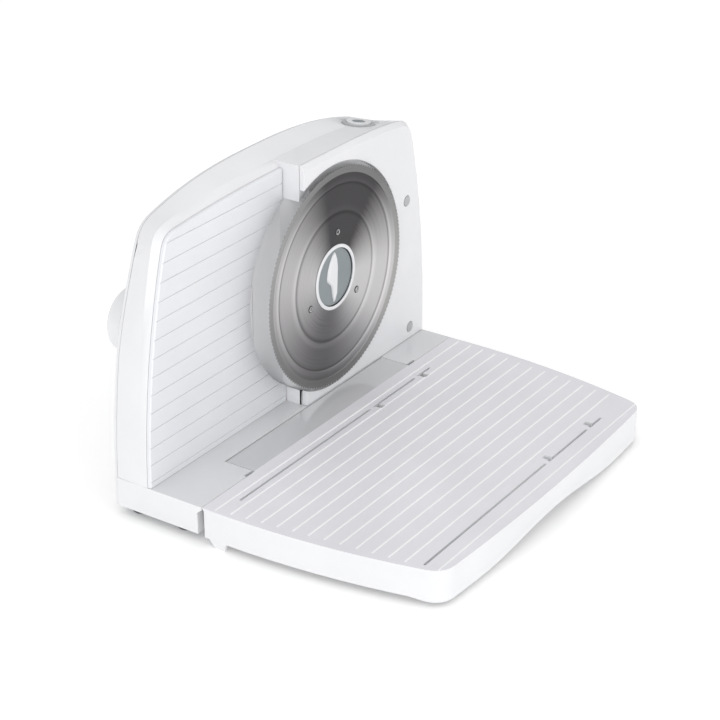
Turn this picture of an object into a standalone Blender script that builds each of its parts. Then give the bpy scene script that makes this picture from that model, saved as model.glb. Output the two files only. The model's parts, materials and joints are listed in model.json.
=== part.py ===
"""Folding household food slicer, all in metres, +Z up.

X runs along the slide direction of the food, -Y points towards the folding
table, and the origin is on the floor under the middle of the whole object.
Depths are counted from the plane of the blade's edge: positive is backwards.
"""

import math

import bmesh
import bpy
from mathutils import Matrix, Vector

MM = 0.001
GAP = 0.3 * MM                # clearance between pieces that touch
BITE = 1.0 * MM               # how far solids that are joined run into each other
FAR = 30 * MM                 # how far cutters run past what they cut
WALL = 2.5 * MM               # moulded wall
TOP_SKIN = 3.0 * MM           # top skin of base and table

# Where the blade's axis lies
BLADE_X = 37.0 * MM
BLADE_Z = 120.0 * MM

# Base
TOP_Z = 28.3 * MM             # height of base and table surface
BASE_BOTTOM = 6.4 * MM
HALF_WIDTH = 160.6 * MM       # base and table at their seam
SEAM_DEPTH = -23.3 * MM       # front edge of the base top
SEAM_LIP = 2.2 * MM           # thickness of that edge
SEAM_SLOPE = 3.0 * MM         # height of the slope under it
EAR_DEPTH = -19.5 * MM        # front wall of the base
RELIEF_WIDTH = 9.0 * MM       # notches beside the tongue
RELIEF_DEPTH = 2.2 * MM

# Upright housing
HOUSING_DEPTH = 24.0 * MM     # its front behind the thickness plate
BOX_DEPTH = 6.7 * MM          # front of the motor box behind the blade cover
CREST_DEPTH = 29.5 * MM       # where plate side and motor box reach one outline
REAR_DEPTH = 53.3 * MM
REAR_LEAN = 6.3 * MM          # how far the back leans forward at the shoulders
LEAN_START_Z = 125.0 * MM
REAR_EDGE = 0.6 * MM          # how far the back's edge is drawn in
SHOULDER_Z = 207.0 * MM
SIDE_BOW = 8.3 * MM
SHOULDER_ROUND = 10.0 * MM
SEAT = 0.2 * MM               # how far the motor box dips under the crest
UPRIGHT_IN = 0.4 * MM         # how much narrower the upright is than the base
COVER_IN = 1.2 * MM           # and how much narrower the blade cover

# Blade, its cover and the chute that the slices leave by
BLADE_RADIUS = 85.0 * MM
BLADE_THICK = 1.2 * MM
RIM_THICK = 0.25 * MM
TEETH = 48
TOOTH_DEPTH = 1.0 * MM
BEVEL_RADIUS = BLADE_RADIUS - 6.0 * MM
BEVEL_EDGE_DEPTH = 0.55 * MM
DISH_RADIUS = BLADE_RADIUS - 13.0 * MM
DISH_EDGE_DEPTH = 1.2 * MM
FLAT_RADIUS = BLADE_RADIUS - 35.0 * MM
DISH_DEPTH = 1.8 * MM
COVER_DEPTH = 2.3 * MM
COVER_EDGE = 0.3 * MM
COVER_HOLE_RADIUS = BLADE_RADIUS + 2.5 * MM
PLUG_RADIUS = 4.0 * MM
PLUG_DEPTH = 2.0 * MM
PLUG_PROUD = 0.2 * MM
PLUG_SPOTS = (
    (HALF_WIDTH - 25.1 * MM, BLADE_Z + 27.1 * MM),
    (HALF_WIDTH - 18.9 * MM, TOP_Z + 9.8 * MM),
)
CHUTE_X = BLADE_X + 7.0 * MM
CHUTE_Z = BLADE_Z - 4.8 * MM
CHUTE_RADIUS = BLADE_RADIUS + 2.3 * MM
CHUTE_SINK = 0.8 * MM         # how deep the chute's wall sits in the fronts
DEFLECTOR_X = 12.0 * MM       # where the slanted wall meets the motor box

# Thickness plate and its adjuster
PLATE_THICK = 3.0 * MM
PLATE_IN = 0.2 * MM           # plate's edge inside the housing's
PLATE_BEVEL = 0.7 * MM
PLATE_EDGE_X = -1.0 * MM      # its end beside the motor box
PLATE_ARC_GAP = 0.7 * MM
PLATE_RIB_PITCH = 13.0 * MM
PLATE_TOP_RIB_Z = SHOULDER_Z - 5.0 * MM
GROOVE_HALF = 0.4 * MM
GROOVE_CUT = 0.5 * MM
CARRIER_THICK = 3.8 * MM
CARRIER_HUB_RADIUS = 18.0 * MM
CARRIER_HALF_HEIGHT = 6.0 * MM
CARRIER_REAR_DEPTH = REAR_DEPTH - 5.2 * MM
PLATE_TRAVEL = CARRIER_REAR_DEPTH - CARRIER_THICK - HOUSING_DEPTH - WALL - GAP
POST_RADIUS = 4.0 * MM
POST_LEFT = 28.0 * MM         # post distances from the knob axis
POST_RIGHT = 45.0 * MM
SPIGOT_LENGTH = 1.2 * MM      # end of a post that sits in the plate
GUIDE_RADIUS = 3.0 * MM
GUIDE_SPREAD = 20.0 * MM
SOCKET_FLOOR = 1.0 * MM       # what a blind socket leaves of the front wall
SOCKET_COVER = 2.0 * MM       # and of the rear cover
KNOB_X = -(HALF_WIDTH - 47.6 * MM)
KNOB_Z = 127.0 * MM
KNOB_RADIUS = 27.0 * MM
KNOB_HEIGHT = 21.1 * MM
KNOB_SKIRT = 6.0 * MM
KNOB_STEP = 2.0 * MM
KNOB_GRIPS = 24
KNOB_GRIP_RADIUS = 1.4 * MM
KNOB_SHAFT_RADIUS = 4.0 * MM
KNOB_SHAFT_PROUD = 4.0 * MM
DIAL_SEAT_RADIUS = KNOB_RADIUS - 3.0 * MM
DIAL_SEAT_DEPTH = 3.3 * MM
CAM_RADIUS = 11.0 * MM
CAM_TURN = math.radians(300)
CAM_END_DEPTH = REAR_DEPTH - 4.4 * MM
GROOVE_RADIUS = 2.8 * MM
FOLLOWER_RADIUS = 1.3 * MM
FOLLOWER_REACH = 1.2 * MM     # how deep the follower stands in the cam's groove

# Folding table
HINGE_DEPTH = -17.0 * MM
HINGE_DROP = 5.0 * MM         # hinge axis below the table surface
PIN_RADIUS = 2.0 * MM
PIN_LENGTH = 17.0 * MM
PIN_INNER = 8.0 * MM          # how far a pin starts inside the tongue's side
BORE_SPARE = 2.0 * MM         # how far its bore runs past each end
LUG_RADIUS = 4.5 * MM
LUG_WIDTH = 5.0 * MM
TONGUE_HALF_WIDTH = HALF_WIDTH - 60.8 * MM
TONGUE_DEPTH = 1.8 * MM
RECESS_DEPTH = 2.8 * MM
RECESS_SIDE_GAP = 0.7 * MM
TABLE_EDGE_DEPTH = -23.6 * MM
TABLE_WALL_DEPTH = -25.3 * MM
TABLE_LIP = 2.6 * MM
TABLE_OUTER_DEPTH = -208.3 * MM
TABLE_OUTER_HALF_WIDTH = 139.5 * MM
TABLE_BOTTOM = 4.0 * MM
TABLE_SIDE_BOW = 6.3 * MM
TABLE_END_BOW = 4.8 * MM
TABLE_ROUND = 12.0 * MM
RIB_PITCH = 11.8 * MM
RIB_HEIGHT = 0.5 * MM
RIB_WIDTH = 1.2 * MM
RIB_END = 1.5 * MM            # how far the ribs stop short of the sides
FIRST_RIB_DEPTH = TABLE_WALL_DEPTH - 8.1 * MM
LAST_RIB_SPACE = 8.0 * MM     # least space between the last rib and the outer edge
SLOT_DEPTHS = (FIRST_RIB_DEPTH - 5.6 * MM, TABLE_OUTER_DEPTH + 21.1 * MM)
SLOT_WIDTH = 2.0 * MM
SLOT_START_X = -(HALF_WIDTH - 22.6 * MM)
SLOT_END_X = HALF_WIDTH - 54.6 * MM
CATCH_WIDTH = 5.0 * MM
CATCH_LENGTH = 6.5 * MM
CATCH_SPACES = (75.0 * MM, 14.0 * MM)
BRIDGE_START = 8.0 * MM       # bridge in the slot, from before a catch
BRIDGE_END = 4.0 * MM
ARCH_HEIGHT = 7.5 * MM
ARCH_END = 43.5 * MM
ARCH_REACH = 20.0 * MM
HEEL_SPACE = 8.7 * MM         # foot moulded to the aprons, from the table's wall
HEEL_WIDTH = 8.5 * MM
HEEL_SLOPE = 5.0 * MM
APRON_RISE = 1.5 * MM         # aprons end this much higher behind the outer edge
APRON_TURN = 28.3 * MM
APRON_FLAT = 16.3 * MM

# Feet and screws
FOOT_RADIUS = 7.0 * MM
FOOT_EDGE = 0.8 * MM
FOOT_STEM_RADIUS = 3.0 * MM
BASE_FOOT_STEM = 2.0 * MM
BASE_FOOT_X = HALF_WIDTH - 12.6 * MM
BASE_FOOT_DEPTHS = (0.0, REAR_DEPTH - 13.3 * MM)
TABLE_FOOT_STEM = 4.0 * MM
TABLE_FOOT_X = TABLE_OUTER_HALF_WIDTH - 21.5 * MM
TABLE_FOOT_DEPTH = TABLE_OUTER_DEPTH + 18.3 * MM
BOSS_RADIUS = 4.5 * MM
SCREW_RADIUS = 1.6 * MM
SCREW_HEAD_RADIUS = 3.0 * MM
SCREW_HEAD_HEIGHT = 1.8 * MM
SCREW_HEAD_EDGE = 0.8 * MM
REAR_SCREW_LENGTH = 12.0 * MM
BOTTOM_SCREW_LENGTH = 9.0 * MM
SCREW_HOLE_SPARE = 8.0 * MM   # how far a screw's hole runs past its tip
LOW_SCREW = (HALF_WIDTH - 14.6 * MM, TOP_Z + 19.7 * MM)
HIGH_SCREW = (HALF_WIDTH - 29.6 * MM, SHOULDER_Z - 29.0 * MM)
BOTTOM_SCREW_X = TONGUE_HALF_WIDTH + 12.2 * MM
BOTTOM_SCREW_DEPTHS = (-8.0 * MM, REAR_DEPTH - 11.3 * MM)
BACK_POST_RISE = 12.0 * MM

# Drive
SPINDLE_RADIUS = 5.0 * MM
SPINDLE_END_DEPTH = REAR_DEPTH - 8.3 * MM
BUSH_RADIUS = 8.5 * MM
BUSH_WALL = 3.5 * MM          # housing around a bush
BUSH_SPARE = 0.5 * MM         # how much shorter a bush is than its seat
FRONT_SEAT_END = 20.0 * MM
REAR_SEAT_START = REAR_DEPTH - 17.3 * MM
LOCK_RADIUS = 22.2 * MM
LOCK_DEPTH = 2.3 * MM         # front of the lock's disc
LOCK_THICK = 1.6 * MM
LOCK_GRIP_DEPTH = 0.7 * MM    # front of the grip on that disc
LOCK_STUB_RADIUS = 3.0 * MM
LOCK_STUB_LENGTH = 4.0 * MM
BEZEL_WIDTH = 3.0 * MM
BEZEL_DEPTH = 0.6 * MM
BEZEL_ROUND = 0.3 * MM
RIVET_RADIUS = 2.2 * MM
RIVET_HEAD_RADIUS = 2.8 * MM
RIVET_HEAD_RISE = 0.5 * MM
RIVET_DISH = 0.2 * MM
RIVET_CIRCLE = 34.7 * MM
RIVET_ANGLE = math.radians(-36)
RIVETS = 3
HUB_FRONT = DISH_DEPTH + BLADE_THICK + GAP
HUB_BACK = 6.2 * MM
HUB_EDGE = 6.0 * MM           # hub outside the rivets' circle
WHEEL_TEETH = 25
WHEEL_MODULE = 1.6 * MM
WHEEL_DEPTH = 29.5 * MM
WHEEL_WIDTH = 6.0 * MM
WHEEL_RADIUS = WHEEL_TEETH * WHEEL_MODULE / 2
WORM_RADIUS = 6.0 * MM
WORM_CORE_RADIUS = WORM_RADIUS - 1.15 * WHEEL_MODULE
WORM_TIP_RADIUS = WORM_RADIUS + 0.85 * WHEEL_MODULE
WORM_PITCH = math.pi * WHEEL_MODULE
WORM_TURNS = 4
WORM_X = BLADE_X + WHEEL_RADIUS + WORM_RADIUS
THREAD_ROOT_HALF = 1.35 * MM
THREAD_TIP_HALF = 0.6 * MM
MOTOR_RADIUS = 19.0 * MM
MOTOR_LENGTH = 56.0 * MM
MOTOR_TOP_Z = BLADE_Z - 34.0 * MM
MOTOR_EDGE = 1.5 * MM
MOTOR_CAP_RADIUS = 8.0 * MM
MOTOR_CAP_LENGTH = 4.0 * MM
SHAFT_SINK = 3.0 * MM         # how deep the worm's shaft sits in the motor
BRACKET_THICK = 2.5 * MM
BRACKET_HALF_WIDTH = 13.0 * MM
BRACKET_LOW_Z = MOTOR_TOP_Z + GAP
BRACKET_TOP_Z = BLADE_Z + 23.0 * MM
BRACKET_REACH = 10.0 * MM     # past the worm's axis
LOW_ARM_EXTRA = 5.0 * MM
TOP_ARM_LESS = 2.0 * MM
VENTS = 7
VENT_PITCH = 6.0 * MM
VENT_HEIGHT = 2.2 * MM
VENT_HALF_WIDTH = 18.0 * MM
VENT_LOW_Z = TOP_Z + 15.7 * MM

# Switch
SWITCH_X = HALF_WIDTH - 53.6 * MM
SWITCH_DEPTH = 28.0 * MM
SWITCH_Z = SHOULDER_Z + 6.6 * MM
SWITCH_TILT = math.radians(9)
RECESS_RADIUS = 15.5 * MM
SWITCH_RECESS = 0.6 * MM
RING_RADIUS = 12.5 * MM
RING_SINK = 2.6 * MM
RING_PROUD = 0.5 * MM
BUTTON_RADIUS = 9.3 * MM
BUTTON_PROUD = 1.6 * MM
BUTTON_TRAVEL = 2.5 * MM
FLANGE_RADIUS = 11.3 * MM
FLANGE_TOP = -2.9 * MM
FLANGE_THICK = 1.7 * MM
STEM_RADIUS = 2.5 * MM
STEM_END = -14.0 * MM
DOT_RADIUS = 5.2 * MM
DOT_SINK = 0.3 * MM
MICRO_HALF_LENGTH = 10.0 * MM
MICRO_HALF_WIDTH = 3.0 * MM
PLUNGER_RADIUS = 1.5 * MM
PLUNGER_LENGTH = 1.2 * MM
SHELF_Z = SWITCH_Z - 27.6 * MM
SHELF_THICK = 2.0 * MM
SHELF_HALF_WIDTH = 13.0 * MM
SHELF_END_DEPTH = REAR_DEPTH - 13.3 * MM

# Where the mains cord enters
GLAND_X = HALF_WIDTH - 42.6 * MM
GLAND_Z = TOP_Z + 31.7 * MM
GLAND_HOLE_RADIUS = 6.0 * MM
GLAND_BORE_RADIUS = 3.0 * MM
GLAND_RIM_RADIUS = 8.5 * MM
GLAND_EDGE = 1.0 * MM
GLAND_PROUD = 3.0 * MM

# Depth zero lies where the whole object is centred on the origin
BLADE_PLANE = -(TABLE_OUTER_DEPTH + REAR_DEPTH + GAP + KNOB_HEIGHT) / 2

# What cutters span
WIDE = HALF_WIDTH + FAR
ABOVE = SHOULDER_Z + 2 * FAR
ALL_HEIGHTS = (-FAR, ABOVE)

for old in list(bpy.data.objects):
    bpy.data.objects.remove(old, do_unlink=True)


def new_collection(name):
    collection = bpy.data.collections.new(name)
    bpy.context.scene.collection.children.link(collection)
    return collection


PARTS = new_collection("food_slicer")
CUTTERS = new_collection("cutters")


def at_depth(depth):
    """World Y of a depth counted from the plane of the blade's edge."""
    return BLADE_PLANE + depth


# Materials


def material(name, color, roughness, metallic=0.0):
    made = bpy.data.materials.get(name)
    if made is None:
        made = bpy.data.materials.new(name)
        made.use_nodes = True
        shader = made.node_tree.nodes["Principled BSDF"]
        shader.inputs["Base Color"].default_value = (*color, 1.0)
        shader.inputs["Roughness"].default_value = roughness
        shader.inputs["Metallic"].default_value = metallic
    return made


def white_gloss():
    return material("white_gloss_plastic", (0.86, 0.86, 0.87), 0.22)


def white_satin():
    return material("white_satin_plastic", (0.80, 0.81, 0.83), 0.38)


def grey_plastic():
    return material("grey_plastic", (0.36, 0.38, 0.40), 0.45)


def dark_plastic():
    return material("dark_plastic", (0.06, 0.06, 0.07), 0.5)


def black_rubber():
    return material("rubber", (0.10, 0.10, 0.11), 0.8)


def steel():
    return material("brushed_steel", (0.55, 0.55, 0.56), 0.28, 1.0)


def zinc():
    return material("zinc_plated_steel", (0.62, 0.62, 0.60), 0.4, 1.0)


def bronze():
    return material("sintered_bronze", (0.45, 0.30, 0.15), 0.5, 1.0)


def natural_nylon():
    return material("natural_nylon", (0.78, 0.76, 0.68), 0.45)


# Modelling helpers


def object_from_bmesh(name, mesh_data):
    bmesh.ops.recalc_face_normals(mesh_data, faces=mesh_data.faces[:])
    mesh = bpy.data.meshes.new(name)
    mesh_data.to_mesh(mesh)
    mesh_data.free()
    made = bpy.data.objects.new(name, mesh)
    PARTS.objects.link(made)
    return made


def box(name, low, high):
    data = bmesh.new()
    size = [high[i] - low[i] for i in range(3)]
    middle = [(high[i] + low[i]) / 2 for i in range(3)]
    place = Matrix.Translation(middle) @ Matrix.Diagonal((*size, 1.0))
    bmesh.ops.create_cube(data, size=1.0, matrix=place)
    return object_from_bmesh(name, data)


def turn_to(axis):
    """Rotation that lays the Z axis along X, Y or Z."""
    if axis == "X":
        return Matrix.Rotation(math.pi / 2, 4, "Y")
    if axis == "Y":
        return Matrix.Rotation(-math.pi / 2, 4, "X")
    return Matrix.Identity(4)


def cylinder(name, radius, start, length, axis="Y", segments=24, end_radius=None):
    """Cylinder or cone that starts at a point and runs along +X, +Y or +Z."""
    data = bmesh.new()
    end = radius if end_radius is None else end_radius
    place = Matrix.Translation(start) @ turn_to(axis) @ Matrix.Translation((0, 0, length / 2))
    bmesh.ops.create_cone(
        data, cap_ends=True, segments=segments, radius1=radius, radius2=end, depth=length, matrix=place
    )
    return object_from_bmesh(name, data)


def turned(name, profile, centre, axis="Y", steps=24):
    """Solid of revolution from a profile of (radius, offset along the axis).

    The profile closes on itself unless it starts on the axis.
    """
    mesh = bpy.data.meshes.new(name)
    points = [(radius, 0.0, offset) for radius, offset in profile]
    edges = [(i, i + 1) for i in range(len(points) - 1)]
    if profile[0][0] > 0:
        edges.append((len(points) - 1, 0))
    mesh.from_pydata(points, edges, [])
    shape = bpy.data.objects.new(name + "_profile", mesh)
    PARTS.objects.link(shape)
    screw = shape.modifiers.new("turn", "SCREW")
    screw.steps = steps
    screw.render_steps = steps
    screw.use_merge_vertices = True
    screw.merge_threshold = 0.00001
    made = baked(name, shape)
    made.data.transform(Matrix.Translation(centre) @ turn_to(axis))
    return made


def baked(name, source):
    """Mesh object of what a curve or a modified object evaluates to."""
    bpy.context.view_layer.update()
    graph = bpy.context.evaluated_depsgraph_get()
    mesh = bpy.data.meshes.new_from_object(source.evaluated_get(graph))
    data = bmesh.new()
    data.from_mesh(mesh)
    data.transform(source.matrix_world)
    bmesh.ops.remove_doubles(data, verts=data.verts[:], dist=0.000005)
    bpy.data.objects.remove(source, do_unlink=True)
    return object_from_bmesh(name, data)


def outline_solid(name, loops, low, high, axis="Y"):
    """Flat outline, with any holes, made solid between two places on an axis.

    Points are (x, z) on Y, (y, z) on X and (x, y) on Z.
    """
    curve = bpy.data.curves.new(name, "CURVE")
    curve.dimensions = "2D"
    curve.fill_mode = "BOTH"
    curve.extrude = (high - low) / 2
    for points in loops:
        spline = curve.splines.new("POLY")
        spline.points.add(len(points) - 1)
        for spot, point in zip(spline.points, points):
            spot.co = (point[0], point[1], 0.0, 1.0)
        spline.use_cyclic_u = True
    shape = bpy.data.objects.new(name + "_outline", curve)
    PARTS.objects.link(shape)
    made = baked(name, shape)
    middle = (low + high) / 2
    if axis == "Y":
        made.data.transform(Matrix.Translation((0, middle, 0)) @ Matrix.Rotation(math.pi / 2, 4, "X"))
    elif axis == "X":
        swap = Matrix(((0, 0, 1, middle), (1, 0, 0, 0), (0, 1, 0, 0), (0, 0, 0, 1)))
        made.data.transform(swap)
    else:
        made.data.transform(Matrix.Translation((0, 0, middle)))
    return made


def loft(name, sections):
    """Solid through closed sections that mirror about their middle point pair."""
    data = bmesh.new()
    rings = [[data.verts.new(point) for point in section] for section in sections]
    count = len(rings[0])
    for near, far in zip(rings, rings[1:]):
        for i in range(count):
            j = (i + 1) % count
            data.faces.new((near[i], near[j], far[j], far[i]))
    for ring in (rings[0], rings[-1]):
        for i in range((count - 1) // 2):
            corners = [ring[i], ring[i + 1], ring[count - 2 - i], ring[count - 1 - i]]
            data.faces.new([v for k, v in enumerate(corners) if v not in corners[:k]])
    return object_from_bmesh(name, data)


def together(name, pieces):
    """One object that holds several separate bodies."""
    data = bmesh.new()
    for piece in pieces:
        data.from_mesh(piece.data)
        bpy.data.objects.remove(piece, do_unlink=True)
    return object_from_bmesh(name, data)


def keep_as_tool(tool):
    tool.hide_render = True
    tool.display_type = "WIRE"
    for holder in list(tool.users_collection):
        holder.objects.unlink(tool)
    CUTTERS.objects.link(tool)


def combine(target, tools, operation):
    for tool in tools:
        step = target.modifiers.new(operation.lower(), "BOOLEAN")
        step.operation = operation
        step.solver = "EXACT"
        step.object = tool
        keep_as_tool(tool)
    return target


def cut(target, *tools):
    return combine(target, tools, "DIFFERENCE")


def add(target, *tools):
    return combine(target, tools, "UNION")


def trim(target, *tools):
    return combine(target, tools, "INTERSECT")


def finish(made, look, smooth_degrees=30):
    made.data.materials.clear()
    made.data.materials.append(look)
    made.data.shade_smooth()
    made.data.set_sharp_from_angle(angle=math.radians(smooth_degrees))
    return made


def pivot(made, point):
    """Puts a moving piece's origin on its joint axis."""
    made.data.transform(Matrix.Translation(-Vector(point)))
    made.location = point
    return made


# Outlines


def bowed(start, end, rise, steps):
    """Points from start to end, bulging to the right of that way by rise."""
    way = (end[0] - start[0], end[1] - start[1])
    length = math.hypot(*way)
    out = (way[1] / length, -way[0] / length)
    points = []
    for i in range(steps + 1):
        t = i / steps
        push = 4 * rise * t * (1 - t)
        points.append((start[0] + way[0] * t + out[0] * push, start[1] + way[1] * t + out[1] * push))
    return points


def rounded(before, corner, after, steps=4):
    """Rounds a corner between two points that lie on its sides."""
    points = []
    for i in range(steps + 1):
        t = i / steps
        weights = ((1 - t) ** 2, 2 * t * (1 - t), t * t)
        points.append(
            tuple(weights[0] * before[k] + weights[1] * corner[k] + weights[2] * after[k] for k in range(2))
        )
    return points


def toward(start, end, distance):
    """Point this far from start on the way to end."""
    share = distance / math.dist(start, end)
    return (start[0] + (end[0] - start[0]) * share, start[1] + (end[1] - start[1]) * share)


def upright_half(half_width, taper, lift, rise, fullness, inset):
    """Right half outline of the upright, from its bottom corner to the top middle.

    The sides draw in by taper up to the shoulder, which is lifted above
    SHOULDER_Z, and the top rises from there in an arc of the given fullness.
    """
    low = (half_width - inset, BASE_BOTTOM)
    high = (half_width - taper - inset, SHOULDER_Z + lift - inset)
    side = bowed(low, high, SIDE_BOW, 9)
    steps = 9
    top = []
    for i in range(steps + 1):
        x = high[0] * (1 - i / steps)
        top.append((x, high[1] + rise * (1 - (x / high[0]) ** fullness)))
    reach = SHOULDER_ROUND
    corner = rounded(toward(high, side[-2], reach), high, toward(high, top[1], reach))
    return side[:-1] + corner + top[1:]


def full_outline(half):
    """Both halves, ordered so that point i and its mirror image pair up."""
    mirrored = [(-x, z) for x, z in half]
    return half + mirrored[::-1][1:] if half[-1][0] == 0 else half + mirrored[::-1]


def rear_face_depth(z):
    lean = min(max((z - LEAN_START_Z) / (SHOULDER_Z - LEAN_START_Z), 0.0), 1.0)
    return REAR_DEPTH - REAR_LEAN * lean


def plate_side_half(inset=0.0):
    return upright_half(HALF_WIDTH - UPRIGHT_IN, 28.7 * MM, 0.0, 6.2 * MM, 2.2, inset)


def crest_half(inset=0.0):
    return upright_half(HALF_WIDTH - UPRIGHT_IN, 25.7 * MM, 1.5 * MM, 9.5 * MM, 3.4, inset)


def rear_half(inset=0.0):
    return upright_half(HALF_WIDTH - UPRIGHT_IN, 30.7 * MM, 1.5 * MM, 17.5 * MM, 2.6, inset)


def cover_front_half(inset=0.0):
    return upright_half(HALF_WIDTH - COVER_IN, 20.4 * MM, 1.0 * MM, 5.9 * MM, 4.2, inset)


def cover_back_half(inset=0.0):
    return upright_half(HALF_WIDTH - COVER_IN, 18.9 * MM, 4.0 * MM, 6.6 * MM, 4.2, inset)


def placed(outline, depth):
    """Outline in space, at one depth or at a depth that follows the height."""
    where = depth if callable(depth) else (lambda z: depth)
    return [(x, at_depth(where(z)), z) for x, z in outline]


def circle(centre, radius, segments=48):
    turn = 2 * math.pi / segments
    points = []
    for i in range(segments):
        points.append((centre[0] + radius * math.cos(turn * i), centre[1] + radius * math.sin(turn * i)))
    return points


def block(name, x_span, depth_span, z_span):
    low = (x_span[0], at_depth(depth_span[0]), z_span[0])
    high = (x_span[1], at_depth(depth_span[1]), z_span[1])
    return box(name, low, high)


def drum(name, x, z, radius, depth_from, depth_to, segments=24):
    """Cylinder along Y between two depths."""
    return cylinder(name, radius, (x, at_depth(depth_from), z), depth_to - depth_from, "Y", segments)


# Housing


def housing_rear_depth(z):
    return rear_face_depth(z) - WALL - GAP


def sunk(outline, amount):
    """Outline whose bottom corners are lowered, so that a cavity runs out below."""
    return [(x, z - amount if z <= BASE_BOTTOM else z) for x, z in outline]


def plate_side_solid(name, inset, front, rear, drop=0.0):
    sections = [
        placed(sunk(full_outline(plate_side_half(inset)), drop), HOUSING_DEPTH + front),
        placed(sunk(full_outline(crest_half(inset)), drop), CREST_DEPTH),
        placed(sunk(full_outline(rear_half(inset)), drop), rear),
    ]
    return loft(name, sections)


def motor_box_solid(name, inset, front, drop=0.0):
    sections = [
        placed(sunk(full_outline(cover_back_half(inset)), drop), BOX_DEPTH + front),
        placed(sunk(full_outline(crest_half(inset + SEAT)), drop), CREST_DEPTH),
        placed(sunk(full_outline(crest_half(inset + SEAT + BITE)), drop), CREST_DEPTH + 2 * BITE),
    ]
    made = loft(name, sections)
    right = block(name + "_half", (inset, WIDE), (0, REAR_DEPTH), ALL_HEIGHTS)
    return trim(made, right)


def chute_part(name, radius, footprint):
    """Part of the round chute that stands on a footprint seen from above."""
    front, rear = at_depth(-FAR), at_depth(REAR_DEPTH + FAR)
    made = outline_solid(name, [circle((CHUTE_X, CHUTE_Z), radius, 56)], front, rear)
    return trim(made, outline_solid(name + "_footprint", [footprint], 0, ABOVE, "Z"))


def before_rear_cover():
    """Everything in front of the leaning rear cover."""
    front = at_depth(-FAR)
    profile = [
        (front, -FAR),
        (at_depth(housing_rear_depth(0)), -FAR),
        (at_depth(housing_rear_depth(0)), LEAN_START_Z),
        (at_depth(housing_rear_depth(SHOULDER_Z)), SHOULDER_Z),
        (at_depth(housing_rear_depth(ABOVE)), ABOVE),
        (front, ABOVE),
    ]
    return outline_solid("before_rear_cover", [profile], -WIDE, WIDE, "X")


def chute_block():
    left = CHUTE_X - CHUTE_RADIUS - FAR
    inside = at_depth(HOUSING_DEPTH + BITE)
    box_front = at_depth(BOX_DEPTH + CHUTE_SINK)
    footprint = [
        (left, inside),
        (BITE, inside),
        (BITE, box_front),
        (DEFLECTOR_X + WALL, box_front),
        (WALL, at_depth(HOUSING_DEPTH + CHUTE_SINK)),
        (WALL, at_depth(REAR_DEPTH)),
        (left, at_depth(REAR_DEPTH)),
    ]
    return trim(chute_part("chute_block", CHUTE_RADIUS + WALL, footprint), before_rear_cover())


def chute_passage():
    left = CHUTE_X - CHUTE_RADIUS - FAR
    footprint = [
        (left, at_depth(EAR_DEPTH)),
        (DEFLECTOR_X, at_depth(EAR_DEPTH)),
        (DEFLECTOR_X, at_depth(BOX_DEPTH)),
        (0, at_depth(HOUSING_DEPTH)),
        (0, at_depth(REAR_DEPTH + FAR)),
        (left, at_depth(REAR_DEPTH + FAR)),
    ]
    return chute_part("chute_passage", CHUTE_RADIUS, footprint)


def base_solid():
    """Base box whose front edge overhangs the wall that the table swings past."""
    lip_z = TOP_Z - SEAM_LIP
    rear = REAR_DEPTH - WALL - GAP
    profile = [
        (at_depth(EAR_DEPTH), BASE_BOTTOM),
        (at_depth(rear), BASE_BOTTOM),
        (at_depth(rear), TOP_Z),
        (at_depth(SEAM_DEPTH), TOP_Z),
        (at_depth(SEAM_DEPTH), lip_z),
        (at_depth(EAR_DEPTH), lip_z - SEAM_SLOPE),
    ]
    return outline_solid("base_solid", [profile], -HALF_WIDTH, HALF_WIDTH, "X")


def base_cavity():
    side = HALF_WIDTH - WALL
    step_x = TONGUE_HALF_WIDTH + RECESS_SIDE_GAP + WALL
    front = at_depth(EAR_DEPTH + WALL)
    step = at_depth(RECESS_DEPTH + WALL)
    rear = at_depth(REAR_DEPTH + FAR)
    outline = [
        (-side, front),
        (-step_x, front),
        (-step_x, step),
        (step_x, step),
        (step_x, front),
        (side, front),
        (side, rear),
        (-side, rear),
    ]
    return outline_solid("base_cavity", [outline], -FAR, TOP_Z - TOP_SKIN, "Z")


def table_recess():
    half = TONGUE_HALF_WIDTH + RECESS_SIDE_GAP
    return block("table_recess", (-half, half), (-FAR, RECESS_DEPTH), (-FAR, TOP_Z + FAR))


def hinge_reliefs():
    """Notches in the seam edge just outside the tongue."""
    notches = []
    inner = TONGUE_HALF_WIDTH + RECESS_SIDE_GAP
    depths = (SEAM_DEPTH - BITE, SEAM_DEPTH + RELIEF_DEPTH)
    heights = (TOP_Z - TOP_SKIN - BITE, TOP_Z + BITE)
    for side in (-1, 1):
        ends = sorted((side * (inner - BITE), side * (inner + RELIEF_WIDTH)))
        notches.append(block("relief", (ends[0], ends[1]), depths, heights))
    return together("hinge_reliefs", notches)


def hinge_bores(radius):
    bore_length = PIN_LENGTH + 2 * BORE_SPARE
    holes = []
    for side in (-1, 1):
        start = side * (TONGUE_HALF_WIDTH - PIN_INNER - BORE_SPARE) - (bore_length if side < 0 else 0)
        place = (start, at_depth(HINGE_DEPTH), TOP_Z - HINGE_DROP)
        holes.append(cylinder("hinge_bore", radius, place, bore_length, "X", 16))
    return together("hinge_bores", holes)


def rear_screw_spots():
    return [(side * x, z) for x, z in (LOW_SCREW, HIGH_SCREW) for side in (-1, 1)]


def bottom_screw_spots():
    return [(side * BOTTOM_SCREW_X, depth) for side in (-1, 1) for depth in BOTTOM_SCREW_DEPTHS]


def boss_front(x):
    """Depth of the housing wall that a boss for the rear cover stands on."""
    return (BOX_DEPTH if x > 0 else HOUSING_DEPTH) + BITE


def housing_bosses():
    bosses = []
    for x, z in rear_screw_spots():
        end = housing_rear_depth(z + BOSS_RADIUS)
        bosses.append(drum("rear_boss", x, z, BOSS_RADIUS, boss_front(x), end, 16))
    return together("housing_bosses", bosses)


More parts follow.
